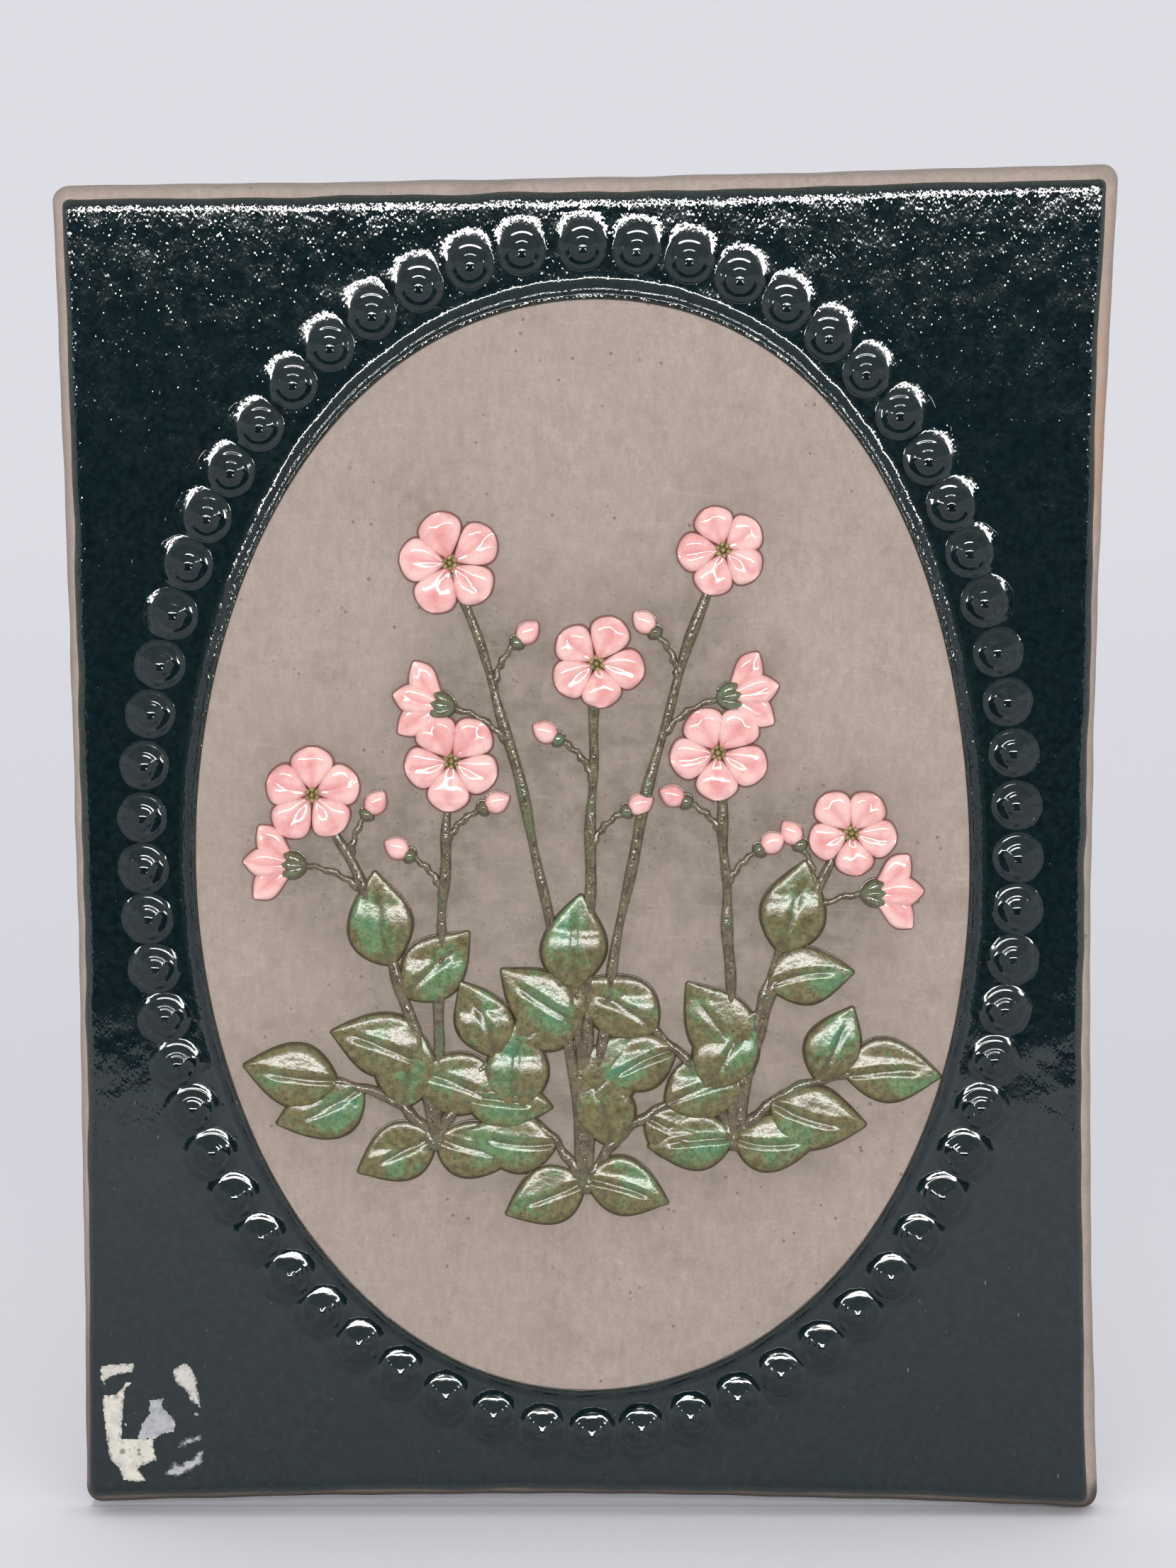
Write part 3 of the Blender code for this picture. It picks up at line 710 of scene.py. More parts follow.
def mark_edge(mesh):
    """Keep where the cut edge gets painted shade below, is dingy at the lower left and is rusty at the
    right.
    """
    x, y, z = flat_array(vertex.co for vertex in mesh.vertices).T
    low = fade(z + HALF_HEIGHT, *UNDERSIDE_SHADE_RISE)
    # Painted shade of the slab's underside.
    under = low * (UNDERSIDE_SHADE_LEAST + (1.0 - UNDERSIDE_SHADE_LEAST) * fade(-y, *UNDERSIDE_SHADE_FRONT))
    dingy = DINGY_AMOUNT * smooth(-z, *DINGY_FALL) * (x < -EDGE_START)
    set_mark(mesh, "under", np.maximum(under, dingy))
    set_mark(mesh, "rust", np.exp(-((z - RUST_PLACE) / RUST_REACH) ** 2) * (x > EDGE_START))


def cut_slot(piece):
    """Cut the blind hanging slot into the back."""
    radius = SLOT_HEIGHT / 2
    outline = []
    for side in (1, -1):
        for step in range(SLOT_STEPS + 1):
            angle = math.pi * step / SLOT_STEPS - math.pi / 2 + (0 if side > 0 else math.pi)
            outline.append((
                side * (SLOT_LENGTH / 2 - radius) + radius * math.cos(angle),
                SLOT_TOP - radius + radius * math.sin(angle),
            ))
    points = [(x, depth, z) for depth in (SLOT_DEPTH, -SLOT_DEPTH) for x, z in outline]
    cutter = new_mesh("slot_cutter", points, tube_faces(2, len(outline)))
    cut = piece.modifiers.new("slot", "BOOLEAN")
    cut.operation = "DIFFERENCE"
    cut.object = cutter
    cut.solver = "EXACT"
    bpy.context.view_layer.update()
    mesh = bpy.data.meshes.new_from_object(piece.evaluated_get(bpy.context.evaluated_depsgraph_get()))
    piece.modifiers.clear()
    piece.data = mesh
    bpy.data.objects.remove(cutter, do_unlink=True)


# The clay field.

def field_surface(across, upward):
    """Return the field's height over the frame's ground: nearly flat, a little uneven."""
    return FIELD_HEIGHT + unevenness(across, upward, FIELD_RIPPLES)


def soil_and_shade(across, upward):
    """Return how much old grime and painted shade darken the field: most close round the relief."""
    spots = []
    for foot, heading, _ in leaf_places():
        spots.append((offset(foot, heading, LEAF_LENGTH / 2), LEAF_SOIL_AND_SHADE_REACH))
    for stem in blossom_stems() + cup_stalks() + bud_stalks():
        spots += [(stem_point(stem, part), STEM_SOIL_AND_SHADE_REACH) for part in SOIL_AND_SHADE_STEM_PARTS]
    clear = np.ones(len(across))
    for spot, reach in spots:
        away = np.hypot(across - spot.x, upward - spot.y)
        clear = clear * (1.0 - SOIL_AND_SHADE_STRENGTH * np.exp(-(away / reach) ** 2))
    return 1.0 - clear


def make_clay_field():
    """Make the bare oval, with a slightly rounded rim and its side down to the slab."""
    columns = FIELD_COLUMNS
    edge_across, edge_upward = field_points(0.0, np.linspace(0, 2 * math.pi, columns, endpoint=False))
    rings = []
    for part in np.linspace(0.0, 1.0, FIELD_ROWS)[1:] ** FIELD_CROWDING:
        across = OVAL_CENTRE.x + (edge_across - OVAL_CENTRE.x) * part
        upward = OVAL_CENTRE.y + (edge_upward - OVAL_CENTRE.y) * part
        rim = math.exp(-(1.0 - part) * OVAL_MEAN_RADIUS / RIM_REACH)
        height = field_surface(across, upward) - RIM_DROP * rim
        rings.append(stand_up(across, upward, FRAME_DEPTH + height))
    rings.append(stand_up(edge_across, edge_upward, np.full(columns, FRAME_DEPTH + FIELD_SIDE_FOOT)))
    middle_height = float(field_surface(*OVAL_CENTRE))
    points = np.concatenate(rings + [[(OVAL_CENTRE.x, -FRAME_DEPTH - middle_height, OVAL_CENTRE.y)]])
    # Old dirt and painted shade round the relief.
    marks = {"dirt_and_shade": soil_and_shade(points[:, 0], points[:, 2])}
    return new_mesh("clay_field", points, dome_faces(len(rings), columns), marks, FIELD_CREASE)


# The glaze skin with its beads and stepped band.

def slope_heights(slopes, steps):
    """Return places and the heights there over the last place, from a list of slopes in degrees."""
    marks, angles = np.array(slopes).T
    places = np.linspace(0.0, marks[-1], steps)
    falls = np.tan(np.radians(np.interp(places, marks, angles))) * places[1]
    return places, np.cumsum(falls[::-1])[::-1]


def unrest(upward):
    """Return how uneven the glaze's surface is: it ran smoother towards the foot of the plaque."""
    return FOOT_UNREST + (1.0 - FOOT_UNREST) * smooth(upward, *UNREST_RISE)


def ground_height(across, upward):
    """Return the glaze's height on the open frame: its thickness with soft unevenness."""
    return GLAZE_THICKNESS + unevenness(across, upward, GROUND_RIPPLES)


def fall_along(rings, slopes):
    """Return how far a face falls by each ring, with its slopes there in degrees."""
    steep = np.tan(np.radians(slopes))
    before = np.vstack([0.0 * steep[:1], steep[:-1]])
    return np.cumsum(np.diff(rings, axis=0, prepend=0.0) * (steep + before) / 2, axis=0)


def bead_disc(turns, outward, lift):
    """Return the distances of a bead's rings and their heights over its edge, for each turn round it."""
    rings, top, side, foot, lower = np.array(BEAD_PROFILE).T[:, :, None]
    rings = rings * MILLIMETRE
    at_top = smooth(lift, *TOP_SPAN)
    at_foot = smooth(-lift, *FOOT_SPAN)
    upper = at_top * top + at_foot * foot + (1.0 - at_top - at_foot) * side
    whole = fall_along(rings, upper)[-1]
    level = 1.0 - abs(lift)
    upward = np.sin(turns)
    facing = np.cos(turns - outward)
    knob = rings < KNOB_END
    moat = (rings > MOAT_START) * (rings < MOAT_END)
    upper = np.where(knob, upper / np.maximum(upward, SPOT_FACET) ** at_foot, upper)
    low, high = ARC_SPAN
    narrowing = ARC_NARROWING * max(level, at_foot)
    raised = smooth(upward - ARC_TURN * level * facing, low + narrowing, high + narrowing)
    unmoated = smooth(upward - MOAT_TURN * level * np.maximum(-facing, 0.0), *MOAT_SPAN)
    share = np.where(knob, smooth(upward, *KNOB_TURN), np.where(moat, unmoated, raised))
    lean = MOAT_LEAN * moat + SHOULDER_LEAN * (rings > SHOULDER_START)
    slopes = share * upper + (1.0 - share) * lower + level * np.maximum(facing, 0.0) * lean
    crescent = level * smooth(-facing - CRESCENT_DROP * upward, *CRESCENT_SPAN)
    crescent = crescent * smooth(rings, *CRESCENT_START) * fade(rings, *CRESCENT_END)
    falls = fall_along(rings, slopes * (1.0 - CRESCENT_DEPTH * crescent))
    knob_fall = falls[knob.ravel()][-1]
    beyond = (falls - knob_fall) * (whole - knob_fall) / (falls[-1] - knob_fall)
    return rings, whole - np.where(knob, falls, knob_fall + beyond)


def fluting(turns, flutes, number):
    """Return how a round thing's reach varies round it: each flute has a size, a count and a lead."""
    return 1.0 + sum(size * np.sin(count * turns + number * lead) for size, count, lead in flutes)


def add_bead(store, number, turns, foot):
    """Add one bead: its stepped face, its skirt of pooled glaze and its side down to the slab."""
    angle = bead_angle(number)
    lift = math.sin(angle)
    lifts, *shapes = np.array(SKIRT_SHAPE).T
    skirt, near, far, hollow = (np.interp(lift, lifts, shape) for shape in shapes)
    x, z = ring_points(0.0, angle)
    x = x + BEAD_STRAY * sway(number * 3)
    z = z + BEAD_STRAY * sway(number * 3 + 1)
    outward = math.atan2(math.sin(angle) / RING_HALF_HEIGHT, math.cos(angle) / RING_HALF_WIDTH)
    rings, disc = bead_disc(turns, outward, lift)
    disc = disc + skirt
    turn_start, turn_end = SKIRT_TURN
    turn_start += SKIRT_TURN_AT_TOP * max(lift, 0.0)
    reach = near + (far - near) * smooth(np.cos(turns - outward), turn_start, turn_end)
    reach = reach * fluting(turns, SKIRT_FLUTES, number)
    size = (1.0 + BEAD_SIZE_STRAY * sway(number * 3 + 2)) * fluting(turns, BEAD_FLUTES, number)
    radius = np.concatenate([rings * size, rings[-1] * size + foot * reach])
    height = np.concatenate([disc, disc[-1] * (1.0 - foot) ** hollow - SKIRT_SINK * foot])
    inner = np.concatenate([1.0 - rings / rings[-1], 0.0 * foot])
    across = x + radius * np.cos(turns) + inner * KNOB_STRAY * sway(number * 5 + 7)
    upward = z + radius * np.sin(turns) + inner * KNOB_STRAY * sway(number * 5 + 8)
    height = height + ground_height(across, upward)
    middle = (across[0].mean(), -FRAME_DEPTH - height[0].mean() - SKIRT_SINK, upward[0].mean())
    low = stand_up(across[-1], upward[-1], np.full(BEAD_SECTORS, GLAZE_UNDERSIDE))
    points = np.concatenate([stand_up(across, upward, FRAME_DEPTH + height), low, [middle]])
    rim = [smooth(rings, *RIM_THIN_START), fade(foot, *RIM_THIN_END)]
    stir = [0.0 * rings, SKIRT_UNREST * smooth(foot, *SKIRT_UNREST_SPAN)]
    spare = np.zeros(BEAD_SECTORS + 1)
    store.add(points, dome_faces(len(radius) + 1, BEAD_SECTORS), {
        "thin": np.append((RIM_THIN * np.concatenate(rim) + 0.0 * turns).ravel(), spare),
        "unrest": np.append(((DISC_UNREST + np.concatenate(stir)) * unrest(upward)).ravel(), spare),
    })


def make_beads():
    """Make the ring of beads: stepped buttons, each with a skirt of pooled glaze."""
    store = Collector(("thin", "unrest"))
    turns = np.linspace(0.0, 2 * math.pi, BEAD_SECTORS, endpoint=False)[None, :]
    foot = np.linspace(0.0, 1.0, SKIRT_ROWS + 1)[1:, None]
    for number in range(BEADS):
        add_bead(store, number, turns, foot)
    return store.piece("beads")


def band_height(margin, lift, across, upward):
    """Return the stepped band's height at a distance outside the field."""
    wobble = unevenness(across, upward, BAND_RIPPLES)
    outer = OUTER_STEP + OUTER_STEP_TOP * lift + wobble
    inner = INNER_STEP + INNER_STEP_TOP * lift + INNER_STEP_WOBBLE * wobble
    height = OUTER_STEP_RISE * np.clip((outer - margin) / OUTER_STEP_RUN, 0.0, 1.0) ** STEP_SOFTNESS
    return height + INNER_STEP_RISE * np.clip((inner - margin) / INNER_STEP_RUN, 0.0, 1.0) ** STEP_SOFTNESS


def glaze_boundary(angles):
    """Return the glaze's outer boundary, on rays from the ring's middle."""
    flat = flat_array(rounded_rectangle(MARGINS, GLAZE_CORNER, *BOUNDARY_STEPS))
    for side, sign in (("right", 1.0), ("left", -1.0)):
        change = np.interp(flat[:, 1], MARGIN_PLACES, MARGIN_CHANGES[side])
        flat[:, 0] -= sign * change * smooth(sign * flat[:, 0], *MARGIN_SIDE)
    middle = np.array(tuple(RING_CENTRE))
    bearing = np.arctan2(flat[:, 1] - middle[1], flat[:, 0] - middle[0])
    order = np.argsort(bearing)
    bearing = bearing[order]
    reach = np.linalg.norm(flat - middle, axis=1)[order]
    ring_across, ring_upward = ring_points(BEAD_REACH, angles)
    heading = np.arctan2(ring_upward - middle[1], ring_across - middle[0])
    radius = np.interp(heading, bearing, reach, period=2 * math.pi)
    radius = radius + MARGIN_STRAY * wander(heading, MARGIN_WAVES)
    return middle[0] + radius * np.cos(heading), middle[1] + radius * np.sin(heading)


def glaze_places(angles):
    """Return the skin's places, and how far each lies from the field's edge and from the lip."""
    inner = np.stack(field_points(0.0, angles))
    beyond = np.stack(ring_points(BEAD_REACH, angles))
    outer = np.stack(glaze_boundary(angles))
    run = np.linalg.norm(beyond - inner, axis=0)
    reaches = [0.0 * run + BAND_REACH * row / BAND_ROWS for row in range(BAND_ROWS)]
    reaches += [BAND_REACH + (run - BAND_REACH) * row / BEAD_ROWS for row in range(BEAD_ROWS)]
    rows = [inner + (beyond - inner) * reach / run for reach in reaches]
    outward = outer - beyond
    span = np.linalg.norm(outward, axis=0)
    lip = 1.0 - np.minimum(LIP_WIDTH / span, LIP_SHARE)
    shares = [lip * part for part in np.linspace(0.0, 1.0, GROUND_ROWS, endpoint=False)]
    shares += [lip + (1.0 - lip) * part for part in np.linspace(0.0, 1.0, LIP_ROWS) ** LIP_CROWDING]
    rows += [beyond + outward * share for share in shares]
    margin = np.stack(reaches + [run + span * share for share in shares])
    return np.stack(rows), margin, run + span - margin


def make_glaze():
    """Make the glazed skin from the field's edge over the band and beads to the lip of the glaze."""
    angles = column_angles()
    places, margin, to_lip = glaze_places(angles)
    across = places[:, 0]
    upward = places[:, 1]
    lift = np.clip(np.sin(angles), 0.0, 1.0) ** 2
    lip_places, drops = slope_heights(LIP_SLOPES, LIP_SLOPE_STEPS)
    height = band_height(margin, lift, across, upward) + ground_height(across, upward)
    height = height - np.interp(to_lip, lip_places, drops, right=0.0)
    height = height - FIELD_EDGE_DROP * fade(margin, 0.0, FIELD_EDGE_WIDTH)
    from_step = np.abs(margin - OUTER_STEP - OUTER_STEP_TOP * lift + THIN_STEP_PLACE)
    thin = np.maximum(fade(to_lip, *THIN_LIP_SPAN), THIN_BAND * fade(margin, *THIN_BAND_SPAN))
    thin = np.maximum(thin, THIN_STEP * fade(from_step, *THIN_STEP_SPAN))
    broken = 1.0 + LIP_UNREST * fade(to_lip, *LIP_UNREST_SPAN)
    broken = broken + BAND_UNREST * fade(margin, *BAND_UNREST_SPAN)
    points = [stand_up(across, upward, FRAME_DEPTH + height)]
    for row in (-1, 0):
        points.append(stand_up(across[row], upward[row], np.full(len(angles), GLAZE_UNDERSIDE)))
    marks = {
        "thin": thin,
        "field_edge": fade(margin, *FIELD_EDGE_SPAN),
        "unrest": unrest(upward) * broken,
        "lip": fade(to_lip, 0.0, LIP_COLOUR_WIDTH),
    }
    hidden = np.ones(2 * len(angles))
    marks = {name: np.append(values.ravel(), hidden) for name, values in marks.items()}
    faces = grid_faces(len(places) + 2, len(angles), wrap_rows=True, wrap_columns=True)
    return new_mesh("frame_glaze", np.concatenate(points), faces, marks)


# The relief's layout, as in the solid.

def offset(point, heading, distance):
    """Return the point a distance away, with the heading turned from straight up to the right."""
    return point + distance * Vector((math.sin(heading), math.cos(heading)))


def stem_point(stem, part):
    foot, bend, tip = stem
    return foot.lerp(bend, part).lerp(bend.lerp(tip, part), part)


def stem_heading(stem, part):
    foot, bend, tip = stem
    run = (bend - foot).lerp(tip - bend, part)
    return math.atan2(run.x, run.y)


def clump_foot(clump):
    row = clump - (CLUMPS - 1) / 2
    return Vector((row * CLUMP_SPACING, CLUMP_BASE + CLUMP_RISE * abs(row)))


def leaf_stems():
    """Return the leafy stems, a fan from each clump's foot."""
    stems = []
    for clump in range(CLUMPS):
        foot = clump_foot(clump)
        for k in range(LEAF_STEMS_PER_CLUMP):
            seed = clump * LEAF_STEMS_PER_CLUMP + k
            heading = (clump - 1) * CLUMP_LEAN + (k - 1) * LEAF_STEM_SPREAD + LEAF_STEM_STRAY * sway(seed)
            length = MIDDLE_STEM_LENGTH if k == 1 else OUTER_STEM_LENGTH
            length *= 1.0 + STEM_LENGTH_STRAY * sway(seed + 20)
            bend = offset(foot, heading * LEAF_STEM_START, length / 2)
            stems.append((foot, bend, offset(foot, heading, length)))
    return stems


def blossom_stems():
    """Return the blossoms' stems, a wide fan from the clumps' feet."""
    stems = []
    for i in range(BLOSSOM_STEMS):
        foot = clump_foot(round(i * (CLUMPS - 1) / (BLOSSOM_STEMS - 1)))
        angle = FAN_HALF_ANGLE * (2 * i / (BLOSSOM_STEMS - 1) - 1) + FAN_ANGLE_STRAY * sway(i + 3)
        reach = (1.0 if i % 2 == 0 else FAN_INNER) + FAN_REACH_STRAY * sway(i + 50)
        spread = Vector((FAN_HALF_WIDTH * math.sin(angle), FAN_HALF_HEIGHT * math.cos(angle)))
        tip = FAN_CENTRE + reach * spread
        run = tip - foot
        bend = foot + Vector((run.x * STEM_BEND_ACROSS, run.y * STEM_BEND_UPWARD))
        stems.append((foot, bend, tip))
    return stems


def stalk(stem, part, side, length):
    """Return a short side stalk that leaves a stem and curves away from it."""
    foot = stem_point(stem, part)
    heading = stem_heading(stem, part)
    bend = offset(foot, heading + side * STALK_ANGLE * STALK_START, length / 2)
    return foot, bend, offset(foot, heading + side * STALK_ANGLE, length)


def outward_side(number):
    return -1 if number < BLOSSOM_STEMS // 2 else 1


def cup_stalks():
    stalks = []
    for i, stem in enumerate(blossom_stems()):
        if i % 2 == 0:
            stalks.append(stalk(stem, CUP_STALK_PART, outward_side(i), CUP_STALK_LENGTH))
    return stalks


def bud_stalks():
    stalks = []
    for i, stem in enumerate(blossom_stems()):
        if i % 2 == 0:
            stalks.append(stalk(stem, BUD_STALK_PART, -outward_side(i), STALK_LENGTH))
        else:
            for part, side in zip(SHORT_STEM_BUD_PARTS, (1, -1)):
                stalks.append(stalk(stem, part, side * outward_side(i), STALK_LENGTH))
    return stalks


def leaf_places():
    """Return each leaf's foot, heading and size."""
    leaves = []
    for n, stem in enumerate(leaf_stems()):
        for j, part in enumerate(SIDE_LEAF_PARTS):
            side = 1 if (n + j) % 2 == 0 else -1
            heading = stem_heading(stem, part) + side * (SIDE_LEAF_ANGLE + LEAF_STRAY * sway(n * 5 + j))
            size = 1.0 - SIDE_LEAF_TAPER * j + LEAF_SIZE_STRAY * sway(n * 7 + j + 2)
            leaves.append((stem_point(stem, part), heading, size))
        leaves.append((stem_point(stem, TIP_LEAF_PART), stem_heading(stem, TIP_LEAF_PART), TIP_LEAF_SIZE))
    for clump in range(CLUMPS):
        for side in (-1, 1):
            heading = side * (FOOT_LEAF_ANGLE + LEAF_STRAY * sway(clump * 2 + side + 30))
            leaves.append((offset(clump_foot(clump), 0.0, FOOT_LEAF_RISE), heading, FOOT_LEAF_SIZE))
    return leaves


# Pads: pillows of glaze that lie on the field, such as leaves and petals.

class Collector:
    """Collects parts into one mesh, with named values at their points."""

    def __init__(self, marks=("edge", "groove", "along", "pool")):
        self.points = []
        self.faces = []
        self.marks = {name: [] for name in marks}
        self.count = 0

    def add(self, points, faces, marks):
        self.points.append(points)
        self.faces += [tuple(corner + self.count for corner in face) for face in faces]
        self.count += len(points)
        for name, values in self.marks.items():
            values.append(np.zeros(len(points)) + marks.get(name, 0.0))

    def piece(self, name):
        marks = {mark: np.concatenate(values) for mark, values in self.marks.items()}
        return new_mesh(name, np.concatenate(self.points), self.faces, marks)


def pooling(part, reach, share, seed):
    """Return how thick the glaze has pooled on a pad, in a blot somewhere near its middle."""
    along = (part - 0.5 - POOL_PLACE_STRAY * sway(seed * 13)) / POOL_LENGTH
    aside = (reach * share - POOL_SIDE_STRAY * sway(seed * 17)) / POOL_WIDTH
    strength = POOL_STRENGTH + POOL_STRENGTH_STRAY * sway(seed * 19)
    return strength * np.exp(-(along ** 2 + aside ** 2))


def add_pad(pads, foot, heading, length, width, outline, surface, seed, stations=26, lanes=17, curve=0.0):
    """Add one pad: outline gives its width along it, surface its height over the field."""
    along = 0.02 + 0.96 * (0.5 - 0.5 * np.cos(np.linspace(0, math.pi, stations)))
    side = np.sin(np.linspace(-math.pi / 2, math.pi / 2, lanes))
    part, reach = np.meshgrid(along, side, indexing="ij")
    share = np.maximum(outline(part), PAD_FOOT_LEAST)
    turned = heading + curve * (part - 0.3)
    forward = length * part
    sideways = reach * share * width / 2
    across = foot.x + forward * np.sin(turned) + sideways * np.cos(turned)
    upward = foot.y + forward * np.cos(turned) - sideways * np.sin(turned)
    height, groove = surface(part, reach, share)
    ends = fade(np.minimum(part, 1.0 - part), 0.0, PAD_EDGE_PART)
    top = stand_up(across, upward, FIELD_DEPTH + height)
    loop = list(range(lanes))
    loop += [row * lanes + lanes - 1 for row in range(1, stations)]
    loop += [(stations - 1) * lanes + lane for lane in range(lanes - 2, -1, -1)]
    loop += [row * lanes for row in range(stations - 2, 0, -1)]
    border = top[loop]
    flare = border - border.mean(axis=0)
    flare[:, 1] = 0.0
    flare /= np.maximum(np.linalg.norm(flare, axis=1)[:, None], 1e-6)
    rings = [top]
    for spread, rise in PAD_FOOT:
        ring = border + flare * spread
        ring[:, 1] = -FIELD_DEPTH - rise
        rings.append(ring)
    faces = grid_faces(stations, lanes)
    size = len(loop)
    upper = loop
    for level in range(len(PAD_FOOT)):
        first = stations * lanes + level * size
        lower = list(range(first, first + size))
        faces += [(upper[i], upper[(i + 1) % size], lower[(i + 1) % size], lower[i]) for i in range(size)]
        upper = lower
    faces.append(tuple(upper))
    spare = np.zeros(len(PAD_FOOT) * size)
    pads.add(np.concatenate(rings), faces, {
        "edge": np.append(np.maximum(np.abs(reach) ** 2, ends).ravel(), spare + 1.0),
        "groove": np.append(groove.ravel(), spare),
        "along": np.append(part.ravel(), np.tile(part.ravel()[loop], len(PAD_FOOT))),
        "pool": np.append(pooling(part, reach, share, seed).ravel(), spare),
    })


def leaf_width(part):
    return np.sin(math.pi * part ** 0.8)


def leaf_surface(height, seed, heading, length, width):
    """Return a leaf's surface: a plump pillow, creased along it, that leans back at its upper side."""
    lean = math.tan(LEAF_LEAN + LEAF_LEAN_STRAY * sway(seed * 7 + 1))

    def surface(part, reach, share):
        pillow = (1.0 - np.abs(reach) ** LEAF_PILLOW) ** 0.5
        ends = np.clip(share * 1.25, 0.0, 1.0) ** 0.45
        lift = (part - 0.5) * length * math.cos(heading) - reach * share * width / 2 * math.sin(heading)
        leaning = np.logaddexp(0.0, (lift - LEAF_LEAN_START) / LEAF_LEAN_SOFTNESS)
        low = np.maximum(1.0 - lean * LEAF_LEAN_SOFTNESS * leaning / height, LEAF_LOWEST)
        swell = 1.0 + 0.05 * np.sin(part * 6 + seed) * np.cos(reach * 2.2 + seed * 2)
        line = reach * share - 0.05 * np.sin(part * 4 + seed)
        along = smooth(part, 0.0, 0.08) * fade(part, *LEAF_CREASE_END)
        crease = np.exp(-(line * LEAF_CREASE_SHARPNESS) ** 2) * along
        brow = np.exp(-((np.abs(line) - LEAF_BROW_PLACE) / LEAF_BROW_WIDTH) ** 2) * along
        top = height * (0.14 + 0.84 * pillow * ends * swell) * low
        return top + height * (LEAF_BROW * brow - LEAF_CREASE * crease), crease

    return surface


def make_leaves():
    pads = Collector()
    for number, (foot, heading, size) in enumerate(leaf_places()):
        height = LEAF_HEIGHT * (1.0 + LEAF_HEIGHT_STRAY * sway(number * 3 + 1))
        length = LEAF_LENGTH * size
        width = LEAF_WIDTH * size
        surface = leaf_surface(height, number, heading, length, width)
        add_pad(pads, foot, heading, length, width, leaf_width, surface, number,
                stations=44, lanes=29, curve=0.25 * sway(number * 11))
    return pads.piece("leaves")


def petal_width(part):
    """Return an open petal's width along it: narrow at the eye, broad and round at its end."""
    return np.clip(np.sin(math.pi * np.clip(part, 0, 1) ** 1.55), 0, 1) ** 0.62


def petal_surface(height, seed, fold):
    """Return a petal's surface: hollow at the eye, with a soft crease and a rolled end."""
    def surface(part, reach, share):
        pillow = (1.0 - np.abs(reach) ** 3.0) ** 0.5
        rise = 0.45 + 0.55 * smooth(part, 0.05, 0.62)
        end = 1.0 - 0.55 * smooth(part, 0.72, 1.0)
        crease = np.exp(-(reach * 4.0) ** 2) * smooth(part, 0.05, 0.3) * fade(part, 0.75, 0.98)
        ruffle = 1.0 + 0.08 * np.sin(reach * 6.0 + seed) * smooth(part, 0.4, 0.9)
        top = height * (0.16 + 0.84 * pillow * rise * end * ruffle) - fold * height * crease
        return top, crease
    return surface


def add_open_blossoms(pads):
    """Add the open blossoms, five petals each, with each petal a little over its neighbour."""
    for i, stem in enumerate(blossom_stems()):
        radius = BLOSSOM_RADIUS * (1.0 + BLOSSOM_SIZE_STRAY * sway(i + 9))
        turn = BLOSSOM_TURN * sway(i)
        for petal in range(PETALS):
            seed = i * PETALS + petal
            heading = turn + 2 * math.pi * petal / PETALS + 0.06 * sway(seed * 2)
            height = BLOSSOM_HEIGHT * (0.97 - 0.10 * (petal % 2) - 0.05 * abs(sway(seed * 3)))
            length = radius * (1.0 + 0.05 * sway(seed + 60))
            foot = offset(stem[2], heading, radius * 0.06)
            add_pad(pads, foot, heading, length * 0.96, radius * PETAL_WIDTH * 0.86, petal_width,
                    petal_surface(height, seed, 0.16), seed, stations=30, lanes=21,
                    curve=0.10 * sway(seed * 7))


def cup_petal_width(part):
    return np.sin(math.pi * part ** 1.6) * 0.8 + 0.2 * np.sqrt(np.clip(1.0 - part, 0.0, 1.0))


def add_cups(pads):
    """Add the half-open blossoms seen from the side, each of three overlapping petals."""
    for i, stem in enumerate(cup_stalks()):
        heading = stem_heading(stem, 1.0)
        for petal in (-1, 1, 0):
            seed = 100 + i * 3 + petal
            height = CUP_HEIGHT * (1.0 if petal == 0 else 0.72)
            add_pad(pads, stem[2], heading + petal * CUP_SPREAD, CUP_LENGTH, CUP_PETAL_WIDTH * 1.1,
                    cup_petal_width, petal_surface(height, seed, 0.10), seed, stations=28, lanes=17,
                    curve=0.35 * petal)


def bud_width(part):
    return np.sin(math.pi * part) ** 0.8


def bud_surface(height):
    def surface(part, reach, share):
        pillow = np.sqrt(np.clip(1.0 - reach ** 2, 0.0, 1.0)) * np.sqrt(np.clip(share, 0.0, 1.0))
        return height * (0.06 + 0.94 * pillow), np.zeros(part.shape)
    return surface


def add_buds(pads):
    for i, stem in enumerate(bud_stalks()):
        heading = stem_heading(stem, 1.0)
        add_pad(pads, stem[2], heading, BUD_LENGTH, BUD_WIDTH, bud_width, bud_surface(BUD_HEIGHT),
                200 + i, stations=18, lanes=13)


def make_blossoms():
    """Make all that is pink: the open blossoms, the half-open ones and the buds."""
    pads = Collector()
    add_open_blossoms(pads)
    add_cups(pads)
    add_buds(pads)
    return pads.piece("blossoms")


def make_calyxes():
    """Make the green cups of sepals under the buds and half-open blossoms."""
    pads = Collector()
    for i, stem in enumerate(cup_stalks()):
        heading = stem_heading(stem, 1.0)
        foot = offset(stem[2], heading, -SEPAL_BACK)
        for side in (-1, 0, 1):
            surface = bud_surface(CUP_HEIGHT * (1.02 if side == 0 else 0.9))
            add_pad(pads, foot, heading + side * SEPAL_SPREAD, SEPAL_LENGTH, SEPAL_WIDTH, bud_width,
                    surface, 300 + i * 3 + side, stations=16, lanes=11)
    for i, stem in enumerate(bud_stalks()):
        heading = stem_heading(stem, 1.0)
        foot = offset(stem[2], heading, -BUD_SEPAL_BACK)
        add_pad(pads, foot, heading, BUD_SEPAL_LENGTH, SEPAL_WIDTH, bud_width,
                bud_surface(BUD_HEIGHT * 1.05), 330 + i, stations=14, lanes=11)
    return pads.piece("sepals")


